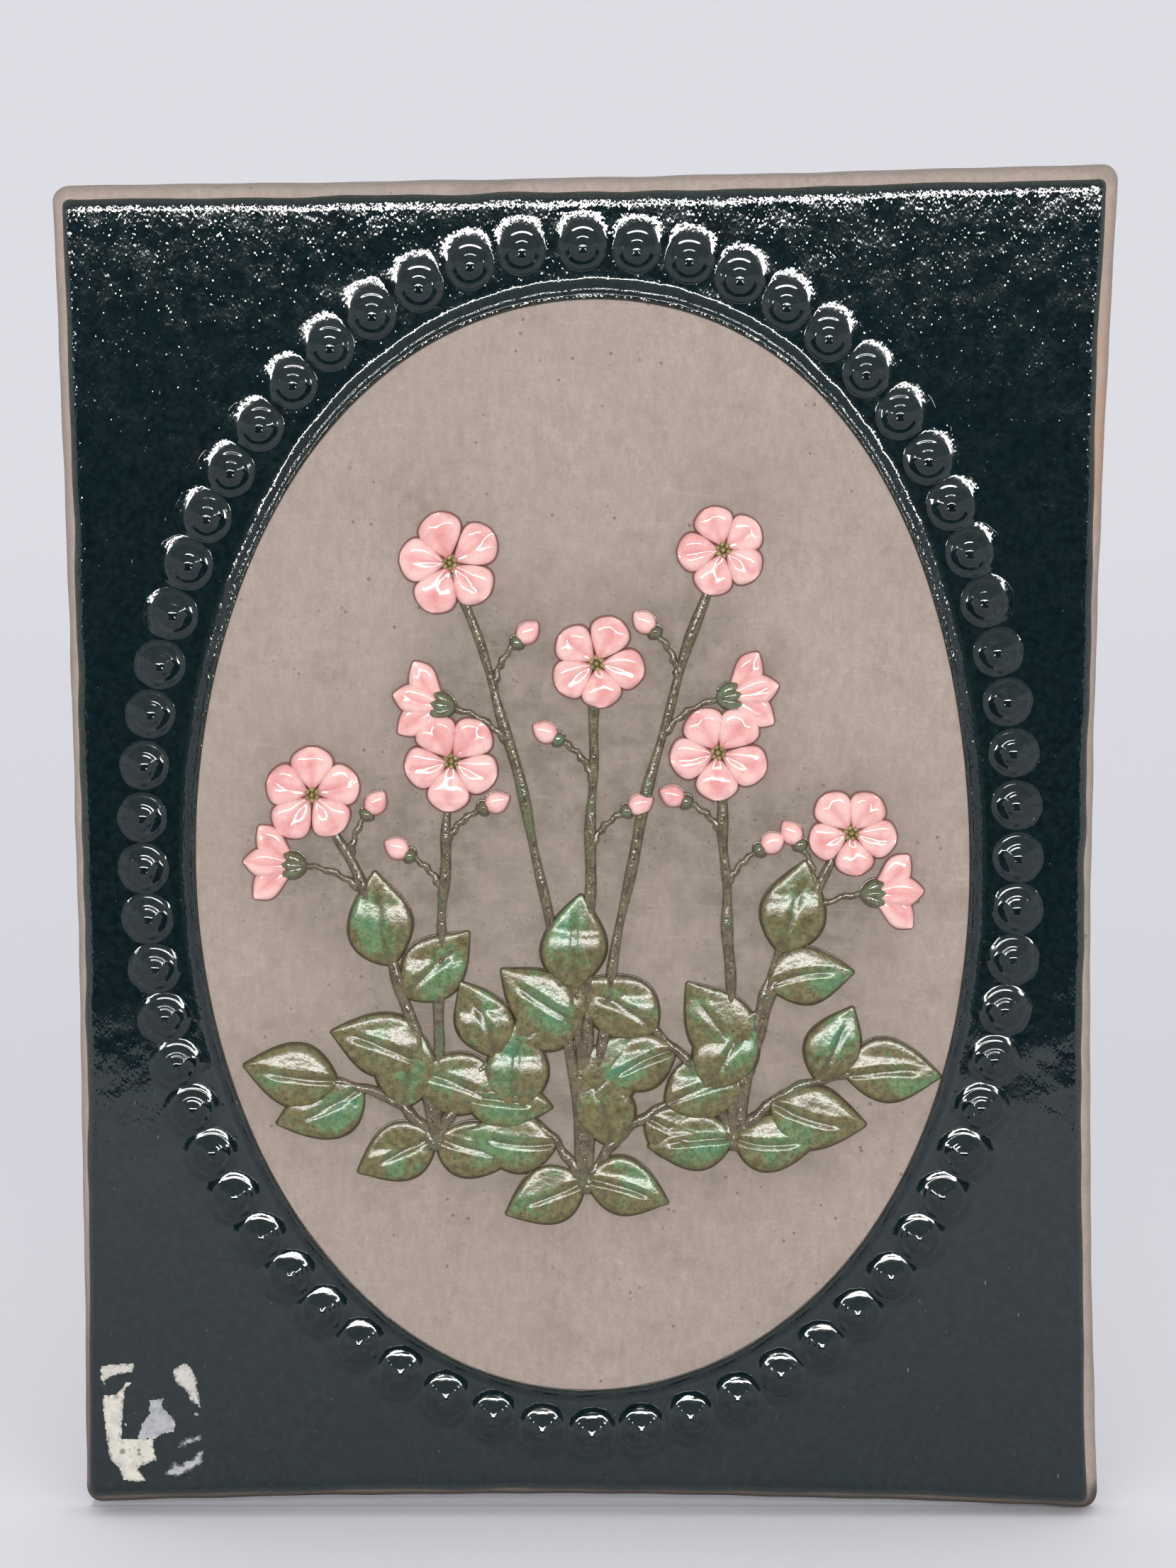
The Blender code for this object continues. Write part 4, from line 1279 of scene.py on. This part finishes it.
def make_eyes():
    """Make the small grainy eye in the middle of each blossom."""
    pads = Collector()
    for i, stem in enumerate(blossom_stems()):
        for grain in range(EYE_GRAINS):
            middle = grain == 0
            ring = 0.0 if middle else EYE_RADIUS * EYE_RING
            grain_place = offset(stem[2], grain * math.pi / 3 + i, ring)
            foot = offset(grain_place, 0.0, -EYE_GRAIN_SIZE / 2)
            surface = bud_surface(BLOSSOM_HEIGHT * (0.86 if middle else 0.74))
            add_pad(pads, foot, 0.0, EYE_GRAIN_SIZE, EYE_GRAIN_SIZE, bud_width, surface,
                    400 + i * EYE_GRAINS + grain, stations=10, lanes=9)
    return pads.piece("blossom_eyes")


def add_tube(store, stem, radius, stations, seed):
    """Add a stem, a little uneven and half sunk in the field."""
    rows = []
    widest, taper = STEM_TAPER
    for n in range(stations + 1):
        part = n / stations
        heading = stem_heading(stem, part)
        across = Vector((math.cos(heading), -math.sin(heading)))
        waves = (size * math.sin(part * count + seed * lead) for size, count, lead in STEM_GIRTH_WAVES)
        girth = radius * (1.0 + sum(waves)) * (widest - taper * part)
        drift = stem_point(stem, part) + across * STEM_DRIFT * math.sin(part * 27 + seed * 2)
        row = []
        for k in range(STEM_SIDES):
            angle = 2 * math.pi * k / STEM_SIDES
            flat = drift + across * girth * math.cos(angle)
            row.append((flat.x, -FIELD_DEPTH + STEM_SINK - girth * math.sin(angle), flat.y))
        rows.append(row)
    store.add(np.array(rows).reshape(-1, 3), tube_faces(len(rows), STEM_SIDES), {})


def make_stems():
    store = Collector(())
    for i, stem in enumerate(blossom_stems()):
        add_tube(store, stem, STEM_RADIUS, BLOSSOM_STEM_STATIONS, i)
    for i, stem in enumerate(leaf_stems()):
        add_tube(store, stem, STEM_RADIUS, LEAF_STEM_STATIONS, 20 + i)
    for i, stem in enumerate(cup_stalks() + bud_stalks()):
        add_tube(store, stem, STALK_RADIUS, STALK_STATIONS, 40 + i)
    return store.piece("stems")


# The torn paper remnant.

def polygon_depth(across, upward, corners):
    """Return how deep places lie inside a flat polygon: above nought inside, below nought outside."""
    nearest = np.full(across.shape, np.inf)
    inside = np.zeros(across.shape, bool)
    for (start_x, start_z), (end_x, end_z) in zip(corners, corners[1:] + corners[:1]):
        run_x = end_x - start_x
        run_z = end_z - start_z
        along = ((across - start_x) * run_x + (upward - start_z) * run_z) / (run_x ** 2 + run_z ** 2)
        along = np.clip(along, 0.0, 1.0)
        away = np.hypot(across - start_x - along * run_x, upward - start_z - along * run_z)
        nearest = np.minimum(nearest, away)
        if run_z:
            crosses = (start_z > upward) != (end_z > upward)
            inside ^= crosses & (across < start_x + (upward - start_z) * run_x / run_z)
    return np.where(inside, nearest, -nearest)


def paper_place(u, v):
    """Return a place on the paper from parts of its width and height."""
    return PAPER_LEFT + (PAPER_RIGHT - PAPER_LEFT) * u, PAPER_BOTTOM + (PAPER_TOP - PAPER_BOTTOM) * v


def paper_cover(across, upward):
    """Return how deep places lie inside the paper, and the tone and softness of the nearest piece."""
    torn = unevenness(across, upward, TORN_RIPPLES)
    cover = np.full(across.shape, -1.0)
    tone = np.zeros(across.shape)
    softness = np.zeros(across.shape)
    for corners, raggedness, silver, soft in PAPER_PIECES:
        depth = polygon_depth(across, upward, [paper_place(u, v) for u, v in corners]) + raggedness * torn
        tone = np.where(depth > cover, silver, tone)
        softness = np.where(depth > cover, soft, softness)
        cover = np.maximum(cover, depth)
    return cover, tone, softness


def paper_grid():
    """Return a grid of places, those near the torn edge moved on to it, and which ones are covered."""
    across = np.arange(PAPER_LEFT - PAPER_BORDER, PAPER_RIGHT + PAPER_BORDER, PAPER_CELL)
    upward = np.arange(PAPER_BOTTOM - PAPER_BORDER, PAPER_TOP + PAPER_BORDER, PAPER_CELL)
    x, z = np.meshgrid(across, upward, indexing="ij")
    cover = paper_cover(x, z)[0]
    step = PAPER_CELL * 0.25
    slope_x = (paper_cover(x + step, z)[0] - paper_cover(x - step, z)[0]) / (2 * step)
    slope_z = (paper_cover(x, z + step)[0] - paper_cover(x, z - step)[0]) / (2 * step)
    steep = np.maximum(slope_x ** 2 + slope_z ** 2, 1.0)
    shift = np.clip(-cover / steep, -1.0, 1.0)
    near = np.abs(cover) / np.sqrt(steep) < PAPER_CELL * 0.75
    most = PAPER_CELL * 0.45
    x = np.where(near, x + np.clip(shift * slope_x, -most, most), x)
    z = np.where(near, z + np.clip(shift * slope_z, -most, most), z)
    return x, z, cover > 0


def make_paper():
    """Make the torn flakes of old paper as thin closed plates on the glaze."""
    x, z, covered = paper_grid()
    curl = np.abs(unevenness(x, z, CURL_RIPPLES))
    shape = bmesh.new()
    grid = {}

    def corner(i, j, lower):
        if (i, j, lower) not in grid:
            lift = GLAZE_THICKNESS + (-PAPER_SINK if lower else PAPER_THICKNESS + curl[i, j])
            grid[(i, j, lower)] = shape.verts.new((x[i, j], -FRAME_DEPTH - lift, z[i, j]))
        return grid[(i, j, lower)]

    solid = covered[:-1, :-1] & covered[1:, :-1] & covered[:-1, 1:] & covered[1:, 1:]
    rows, columns = solid.shape
    for i, j in zip(*np.nonzero(solid)):
        ring = ((i, j), (i + 1, j), (i + 1, j + 1), (i, j + 1))
        shape.faces.new([corner(a, b, False) for a, b in ring])
        shape.faces.new([corner(a, b, True) for a, b in reversed(ring)])
        neighbours = ((i, j - 1), (i + 1, j), (i, j + 1), (i - 1, j))
        for start, end, (a, b) in zip(ring, ring[1:] + ring[:1], neighbours):
            if not (0 <= a < rows and 0 <= b < columns and solid[a, b]):
                side = ((*start, False), (*start, True), (*end, True), (*end, False))
                shape.faces.new([corner(*place) for place in side])
    mesh = bpy.data.meshes.new("paper_remnant")
    bmesh.ops.recalc_face_normals(shape, faces=shape.faces)
    shape.to_mesh(mesh)
    shape.free()
    mark_paper(mesh)
    mesh.shade_smooth()
    mesh.set_sharp_from_angle(angle=PAPER_CREASE)
    return link("paper_remnant", mesh)


def mark_paper(mesh):
    """Keep where the paper is silvery, spotted and fading out."""
    x, _, z = flat_array(vertex.co for vertex in mesh.vertices).T
    depth, tone, softness = paper_cover(x, z)
    spot = np.zeros(len(x))
    for u, v, radius in PAPER_SPOTS:
        spot_x, spot_z = paper_place(u, v)
        away = np.hypot(x - spot_x, z - spot_z) / radius
        spot = np.maximum(spot, fade(away, 0.6, 1.4))
    set_mark(mesh, "spot", spot)
    set_mark(mesh, "silver", tone)
    set_mark(mesh, "fade", softness * fade(depth, 0.0, PAPER_FADE))


# Materials.

class Finish:
    """A procedural material, built up from small steps."""

    def __init__(self, name, roughness, ior=1.5):
        self.material = bpy.data.materials.new(name)
        self.material.use_nodes = True
        self.tree = self.material.node_tree
        self.shader = self.tree.nodes["Principled BSDF"]
        self.set("Roughness", roughness)
        self.set("IOR", ior)
        self.places = self.add("TexCoord", {}, "Object")
        self.normal = None
        self.colour = (0.0, 0.0, 0.0)

    def connect(self, socket, value):
        if isinstance(value, bpy.types.NodeSocket):
            self.tree.links.new(value, socket)
        elif isinstance(value, tuple) and len(value) == 3 and socket.type == "RGBA":
            socket.default_value = (*value, 1.0)
        else:
            socket.default_value = value

    def set(self, name, value):
        """Set or connect one of the shader's own sockets."""
        self.connect(self.shader.inputs[name], value)

    def add(self, kind, inputs, output, **settings):
        """Add a node with its settings and inputs, and return one of its outputs."""
        node = self.tree.nodes.new("ShaderNode" + kind)
        for name, value in settings.items():
            setattr(node, name, value)
        for name, value in inputs.items():
            self.connect(node.inputs[name], value)
        return node.outputs[output]

    def mark(self, name):
        """Read a named value kept at the mesh's points."""
        return self.add("Attribute", {}, "Fac", attribute_name=name)

    def stretch(self, x, y, z, turn=0.0):
        """Return places scaled along each axis, turned first about the plaque's own depth."""
        inputs = {"Vector": self.places, "Rotation": (0.0, turn, 0.0), "Scale": (x, y, z)}
        return self.add("Mapping", inputs, "Vector")

    def noise(self, size, detail=3.0, roughness=0.55, places=None):
        """Return cloudy noise whose features are about a size across."""
        inputs = {"Vector": places or self.places, "Scale": 1.0 / size}
        inputs.update({"Detail": detail, "Roughness": roughness})
        return self.add("TexNoise", inputs, "Fac")

    def span(self, value, low, high, start=0.0, end=1.0):
        """Return the value brought smoothly from low and high to start and end."""
        inputs = {"Value": value, "From Min": low, "From Max": high, "To Min": start, "To Max": end}
        return self.add("MapRange", inputs, "Result", interpolation_type="SMOOTHSTEP")

    def cloud(self, size, span, detail=3.0, roughness=0.55, places=None):
        """Return noise of a size, brought to a span: low, high and, if need be, start and end."""
        return self.span(self.noise(size, detail, roughness, places), *span)

    def spots(self, size, low, high, places=None):
        """Return scattered dots, a size apart: one within low of their middles, nought beyond high."""
        inputs = {"Vector": places or self.places, "Scale": 1.0 / size}
        return self.span(self.add("TexVoronoi", inputs, "Distance"), low, high, 1.0, 0.0)

    def calc(self, operation, first, second):
        return self.add("Math", {0: first, 1: second}, 0, operation=operation)

    def product(self, first, *others):
        for other in others:
            first = self.calc("MULTIPLY", first, other)
        return first

    def blend(self, factor, first, second):
        """Return a colour between two, by a factor."""
        return self.add("Mix", {"Factor": factor, "A": first, "B": second}, "Result", data_type="RGBA")

    def tint(self, colour, *amounts):
        """Turn the colour so far towards another, by the product of the amounts."""
        self.colour = self.blend(self.product(*amounts), self.colour, colour)

    def coat(self, weight, roughness):
        """Lay a clear gloss over the finish."""
        self.set("Coat Weight", weight)
        self.set("Coat Roughness", roughness)

    def bump(self, height, distance):
        """Raise the surface by a height of nought to one, times a distance."""
        inputs = {"Height": height, "Distance": distance}
        if self.normal is not None:
            inputs["Normal"] = self.normal
        self.normal = self.add("Bump", inputs, "Normal")
        self.set("Normal", self.normal)
        self.set("Coat Normal", self.normal)

    def done(self):
        """Return the material, in the colour reached."""
        self.set("Base Color", self.colour)
        return self.material


# In each material, sizes and bump heights are in metres, colours are linear, and a tint is a colour
# followed by where and how much of it there is.

def dark_glaze():
    """Return the glossy green-black glaze, thin and grey-green where it has run off the edges."""
    finish = Finish("dark_glaze_finish", 0.12, ior=1.48)
    mottle = finish.cloud(0.0012, (0.36, 0.66), 4.0, 0.65)
    grain = finish.cloud(0.0004, (0.45, 0.75), 2.0)
    thin_colour = finish.blend(grain, (0.012, 0.019, 0.018), (0.026, 0.038, 0.035))
    fleck = finish.spots(0.0034, 0.030, 0.045)
    ticks = finish.spots(0.0050, 0.022, 0.040, finish.stretch(1.6, 1.0, 0.45, 0.5))
    finish.colour = finish.blend(mottle, (0.0020, 0.0060, 0.0074), (0.0050, 0.0125, 0.0146))
    finish.tint((0.0020, 0.0085, 0.0110), finish.cloud(0.012, (0.35, 0.65)), 0.35)
    finish.tint(thin_colour, finish.mark("thin"), finish.cloud(0.0016, (0.2, 0.6, 0.45, 1.0)))
    finish.tint((0.022, 0.017, 0.011), finish.mark("field_edge"), 0.75)
    finish.tint((0.055, 0.048, 0.038), finish.mark("lip"), 0.7)
    finish.tint((0.12, 0.14, 0.14), fleck, 0.4)
    finish.tint((0.20, 0.22, 0.22), ticks, 0.6)
    finish.set("Roughness", finish.cloud(0.003, (0.3, 0.7, 0.04, 0.10), 2.0))
    stirred = finish.mark("unrest")
    swells = finish.calc("SUBTRACT", finish.noise(0.0018, 1.0), 0.5)
    drips = finish.calc("SUBTRACT", finish.noise(0.00042, 1.0, places=finish.stretch(1.0, 1.0, 0.45)), 0.5)
    domes = finish.spots(0.00075, 0.0, 0.30, finish.stretch(1.0, 1.0, 0.5))
    for height, distance in ((swells, 0.000014), (drips, 0.000042), (domes, 0.000018)):
        finish.bump(finish.product(height, stirred), distance)
    return finish.done()


def bare_clay():
    """Return the brushed matt clay, with its grime, scratches, pits and rust, and with painted shade round
    the relief and on the slab's underside.
    """
    finish = Finish("bare_clay_finish", 0.8, ior=1.45)
    brushed = finish.noise(0.0011, 5.0, 0.65, finish.stretch(1.0, 1.0, 0.45))
    soil_and_shade_mark = finish.mark("dirt_and_shade")
    scratches = finish.cloud(0.0006, (0.55, 0.75), 3.0, 0.7, finish.stretch(0.10, 1.0, 1.0, 0.12))
    peppered = finish.product(finish.spots(0.0011, 0.10, 0.20), finish.cloud(0.0020, (0.45, 0.60), 2.0))
    pits = finish.product(finish.spots(0.0027, 0.06, 0.11), finish.cloud(0.016, (0.45, 0.6), 2.0))
    streaks = finish.span(brushed, 0.3, 0.7)
    finish.colour = finish.blend(streaks, (0.256, 0.203, 0.172), (0.308, 0.250, 0.216))
    finish.tint((0.240, 0.200, 0.176), finish.cloud(0.024, (0.35, 0.7), 4.0, 0.6), 0.45)
    finish.tint((0.165, 0.130, 0.105), finish.cloud(0.009, (0.5, 0.75), 5.0, 0.7), 0.5)
    # Painted shade and old dirt round the relief.
    finish.tint((0.128, 0.104, 0.080), soil_and_shade_mark, finish.cloud(0.0045, (0.3, 0.7, 0.40, 0.95), 4.0, 0.65))
    finish.tint((0.42, 0.36, 0.32), scratches, 0.16)
    finish.tint((0.075, 0.058, 0.045), peppered, finish.span(soil_and_shade_mark, 0.1, 0.9, 0.15, 0.75))
    finish.tint((0.19, 0.15, 0.125), finish.cloud(0.00045, (0.42, 0.62)), 0.25)
    finish.tint((0.13, 0.10, 0.085), pits, 0.8)
    finish.tint((0.340, 0.190, 0.110), finish.mark("rust"), finish.cloud(0.006, (0.35, 0.6, 0.1, 0.6)))
    # Painted shade on the slab's underside, together with the dingy lower left.
    finish.tint((0.045, 0.034, 0.027), finish.mark("under"))
    finish.bump(brushed, 0.00010)
    finish.bump(finish.noise(0.0003, 2.0), 0.00004)
    finish.bump(finish.calc("SUBTRACT", 1.0, pits), 0.00012)
    return finish.done()


def leaf_glaze():
    """Return the leaves' glaze: olive, green where it has pooled, brown in grooves and along edges, where
    the dark brown is partly painted shade of the side walls.
    """
    finish = Finish("leaf_glaze_finish", 0.24, ior=1.42)
    tone = finish.cloud(0.0011, (0.35, 0.65), 4.0, 0.65)
    olive = finish.blend(tone, (0.080, 0.062, 0.024), (0.145, 0.122, 0.050))
    green = finish.blend(tone, (0.062, 0.125, 0.052), (0.115, 0.195, 0.085))
    stray = finish.cloud(0.0030, (0.28, 0.72, -0.30, 0.46), 6.0, 0.75)
    amount = finish.calc("ADD", finish.mark("pool"), stray)
    finish.colour = finish.blend(finish.span(amount, 0.12, 0.66), olive, green)
    finish.tint((0.045, 0.160, 0.082), finish.span(amount, 0.75, 1.25))
    finish.tint((0.032, 0.026, 0.010), finish.cloud(0.00050, (0.52, 0.68), 4.0, 0.7), 0.75)
    # Dark brown at the rim and foot: thin glaze over clay, and partly painted shade of the side walls.
    finish.tint((0.048, 0.033, 0.020), finish.span(finish.mark("edge"), 0.78, 1.0), 0.85)
    finish.tint((0.055, 0.045, 0.018), finish.mark("groove"), 0.6)
    finish.coat(0.22, 0.04)
    finish.bump(finish.noise(0.0018, 2.0), 0.00006)
    finish.bump(finish.noise(0.00055, 3.0, 0.6), 0.000035)
    return finish.done()


def stem_glaze():
    """Return the stems' olive-brown glaze, green in places."""
    finish = Finish("stem_glaze_finish", 0.14)
    patch = finish.cloud(0.0013, (0.35, 0.65), 4.0, 0.65)
    finish.colour = finish.blend(patch, (0.060, 0.044, 0.024), (0.125, 0.098, 0.056))
    finish.tint((0.070, 0.115, 0.050), finish.cloud(0.006, (0.56, 0.7)), 0.55)
    finish.tint((0.030, 0.020, 0.012), finish.cloud(0.00045, (0.54, 0.66), 3.0, 0.6), 0.65)
    finish.coat(0.3, 0.04)
    finish.bump(finish.noise(0.0010, 3.0, 0.6), 0.00018)
    return finish.done()


def sepal_glaze():
    """Return the sepals' glaze, olive to green with dark edges."""
    finish = Finish("sepal_glaze_finish", 0.14)
    patch = finish.cloud(0.0014, (0.40, 0.65), 4.0, 0.65)
    finish.colour = finish.blend(patch, (0.085, 0.068, 0.032), (0.085, 0.135, 0.065))
    finish.tint((0.030, 0.022, 0.012), finish.cloud(0.00045, (0.54, 0.66), 3.0, 0.6), 0.6)
    finish.tint((0.040, 0.026, 0.018), finish.span(finish.mark("edge"), 0.7, 1.0), 0.8)
    finish.coat(0.8, 0.03)
    finish.bump(finish.noise(0.0009, 2.0), 0.00014)
    return finish.done()


def blossom_glaze():
    """Return the pale pink glaze, rosy in folds and throats, with brown specks and dark edges that are
    partly painted shade of the side walls.
    """
    finish = Finish("blossom_glaze_finish", 0.13)
    shade = finish.cloud(0.0040, (0.38, 0.70), 3.0, 0.6)
    specks = finish.product(finish.spots(0.00075, 0.09, 0.17), finish.cloud(0.002, (0.44, 0.54), 2.0))
    finish.colour = finish.blend(shade, (0.68, 0.425, 0.395), (0.60, 0.285, 0.275))
    finish.tint((0.53, 0.17, 0.17), finish.mark("groove"), 0.5)
    finish.tint((0.40, 0.11, 0.11), finish.span(finish.mark("along"), 0.02, 0.34, 0.75, 0.0))
    finish.tint((0.25, 0.10, 0.07), specks, 0.6)
    # Dark red-brown at the rim and foot: partly the stained side wall, partly painted shade under the
    # petal's edge.
    finish.tint((0.13, 0.050, 0.042), finish.span(finish.mark("edge"), 0.90, 1.0), 0.9)
    finish.coat(0.35, 0.03)
    finish.bump(finish.noise(0.0026, 2.0), 0.00007)
    return finish.done()


def eye_glaze():
    finish = Finish("eye_glaze_finish", 0.12, ior=1.6)
    patch = finish.cloud(0.0006, (0.35, 0.65))
    finish.colour = finish.blend(patch, (0.16, 0.12, 0.045), (0.30, 0.24, 0.10))
    return finish.done()


def old_paper():
    """Return the stained paper, cream to silvery, worn through to the glaze along its edges."""
    finish = Finish("old_paper_finish", 0.5, ior=1.45)
    blotch = finish.cloud(0.0020, (0.40, 0.66), 4.0, 0.65)
    cream = finish.blend(blotch, (0.50, 0.475, 0.41), (0.40, 0.385, 0.35))
    silver = finish.blend(blotch, (0.30, 0.305, 0.335), (0.22, 0.225, 0.25))
    worn = finish.calc("ADD", finish.mark("fade"), finish.cloud(0.0005, (0.3, 0.7, -0.35, 0.25), 3.0, 0.6))
    finish.colour = finish.blend(finish.mark("silver"), cream, silver)
    finish.tint((0.20, 0.18, 0.15), finish.cloud(0.0011, (0.60, 0.70), 4.0, 0.7), 0.6)
    finish.tint((0.055, 0.048, 0.042), finish.mark("spot"), 0.75)
    finish.tint((0.022, 0.030, 0.031), finish.span(worn, 0.15, 0.95))
    finish.bump(finish.noise(0.0004, 3.0), 0.00005)
    return finish.done()


# The studio.

def make_stage():
    """Make the pale floor, which curves up behind the plaque into a backdrop."""
    floor = cad_box[0][2] - STAGE_GAP
    profile = [(STAGE_FRONT, floor), (STAGE_BEND_START, floor)]
    for step in range(1, STAGE_BEND_STEPS + 1):
        angle = math.pi / 2 * step / STAGE_BEND_STEPS
        back = STAGE_BEND_START + STAGE_BEND_RADIUS * math.sin(angle)
        profile.append((back, floor + STAGE_BEND_RADIUS * (1.0 - math.cos(angle))))
    profile.append((STAGE_BEND_START + STAGE_BEND_RADIUS, floor + STAGE_HEIGHT))
    points = [(side, y, z) for y, z in profile for side in (-STAGE_HALF_WIDTH, STAGE_HALF_WIDTH)]
    faces = [(2 * i, 2 * i + 1, 2 * i + 3, 2 * i + 2) for i in range(len(profile) - 1)]
    sheet = new_mesh("studio_sheet", points, faces)
    finish = Finish("pale_stage_finish", 0.75)
    finish.colour = STAGE_COLOUR
    sheet.data.materials.append(finish.done())


def make_card(name, corners, finish):
    """Make a flat card of the studio, unseen by the camera."""
    card = new_mesh(name, corners, [(0, 1, 2, 3)])
    card.data.materials.append(finish.done())
    card.visible_camera = False
    return card


def make_cards():
    """Make the dark opening in front and the dim ceiling, which only reflections see."""
    for name, (corners, glow) in REFLECTED_CARDS.items():
        finish = Finish(name + "_finish", 1.0)
        finish.set("Specular IOR Level", 0.0)
        finish.set("Emission Color", CARD_COLOUR)
        finish.set("Emission Strength", glow)
        card = make_card(name, corners, finish)
        card.visible_shadow = False
        card.visible_diffuse = False


def make_shade():
    """Lay a half-clear card, unseen, on the floor under and behind the plaque to deepen its shadow."""
    left, right, front, back = SHADE_SPAN
    corners = [(x, y, cad_box[0][2] - SHADE_GAP)
               for x, y in ((left, front), (right, front), (right, back), (left, back))]
    finish = Finish("foot_shade_finish", 1.0)
    finish.colour = SHADE_COLOUR
    finish.set("Alpha", SHADE_ALPHA)
    make_card("foot_shade", corners, finish).visible_glossy = False


def add_bar(name, radiance):
    """Add the long soft bar of light above and in front, of a given brightness."""
    width, height = BAR_SIZE
    light = bpy.data.lights.new(name, "AREA")
    light.shape = "RECTANGLE"
    light.size = width
    light.size_y = height
    light.energy = radiance * width * height * math.pi
    light.color = BAR_COLOUR
    panel = link(name, light)
    panel.location = BAR_PLACE
    panel.rotation_euler = (Vector(BAR_TARGET) - Vector(BAR_PLACE)).to_track_quat("-Z", "Y").to_euler()
    panel.visible_camera = False
    return panel


def make_lights():
    """Make the even light all round, and the bar once for its glints and once for its light."""
    world = bpy.data.worlds.new("studio")
    world.use_nodes = True
    background = world.node_tree.nodes["Background"]
    background.inputs["Color"].default_value = (*WORLD_COLOUR, 1.0)
    background.inputs["Strength"].default_value = WORLD_STRENGTH
    bpy.context.scene.world = world
    add_bar("bar_light", BAR_GLINT).visible_diffuse = False
    add_bar("front_light", BAR_LIGHT).visible_glossy = False


def make_camera():
    camera = bpy.data.cameras.new("camera")
    camera.sensor_fit = "VERTICAL"
    camera.sensor_height = SENSOR
    camera.lens = CAMERA_LENS
    camera.clip_start = 0.01
    view = link("camera", camera)
    away = Vector((0.0, -math.cos(CAMERA_ELEVATION), math.sin(CAMERA_ELEVATION)))
    view.location = CAMERA_TARGET + CAMERA_DISTANCE * away
    view.rotation_euler = (-away).to_track_quat("-Z", "Y").to_euler()
    bpy.context.scene.camera = view
    bpy.context.scene.view_settings.view_transform = "Standard"


def dress(piece, material, replaces=False):
    """Give a piece its finish and carry it on the plaque."""
    piece.data.materials.clear()
    piece.data.materials.append(material)
    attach(piece, BODY)
    if replaces:
        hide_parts(NODE)


make_camera()
make_lights()
make_stage()
make_cards()
make_shade()

clay = bare_clay()
glaze = dark_glaze()
dress(make_glaze(), glaze, replaces=True)
dress(make_beads(), glaze)
dress(make_clay_body(), clay)
dress(make_clay_field(), clay)
dress(make_stems(), stem_glaze())
dress(make_leaves(), leaf_glaze())
dress(make_blossoms(), blossom_glaze())
dress(make_calyxes(), sepal_glaze())
dress(make_eyes(), eye_glaze())
dress(make_paper(), old_paper())
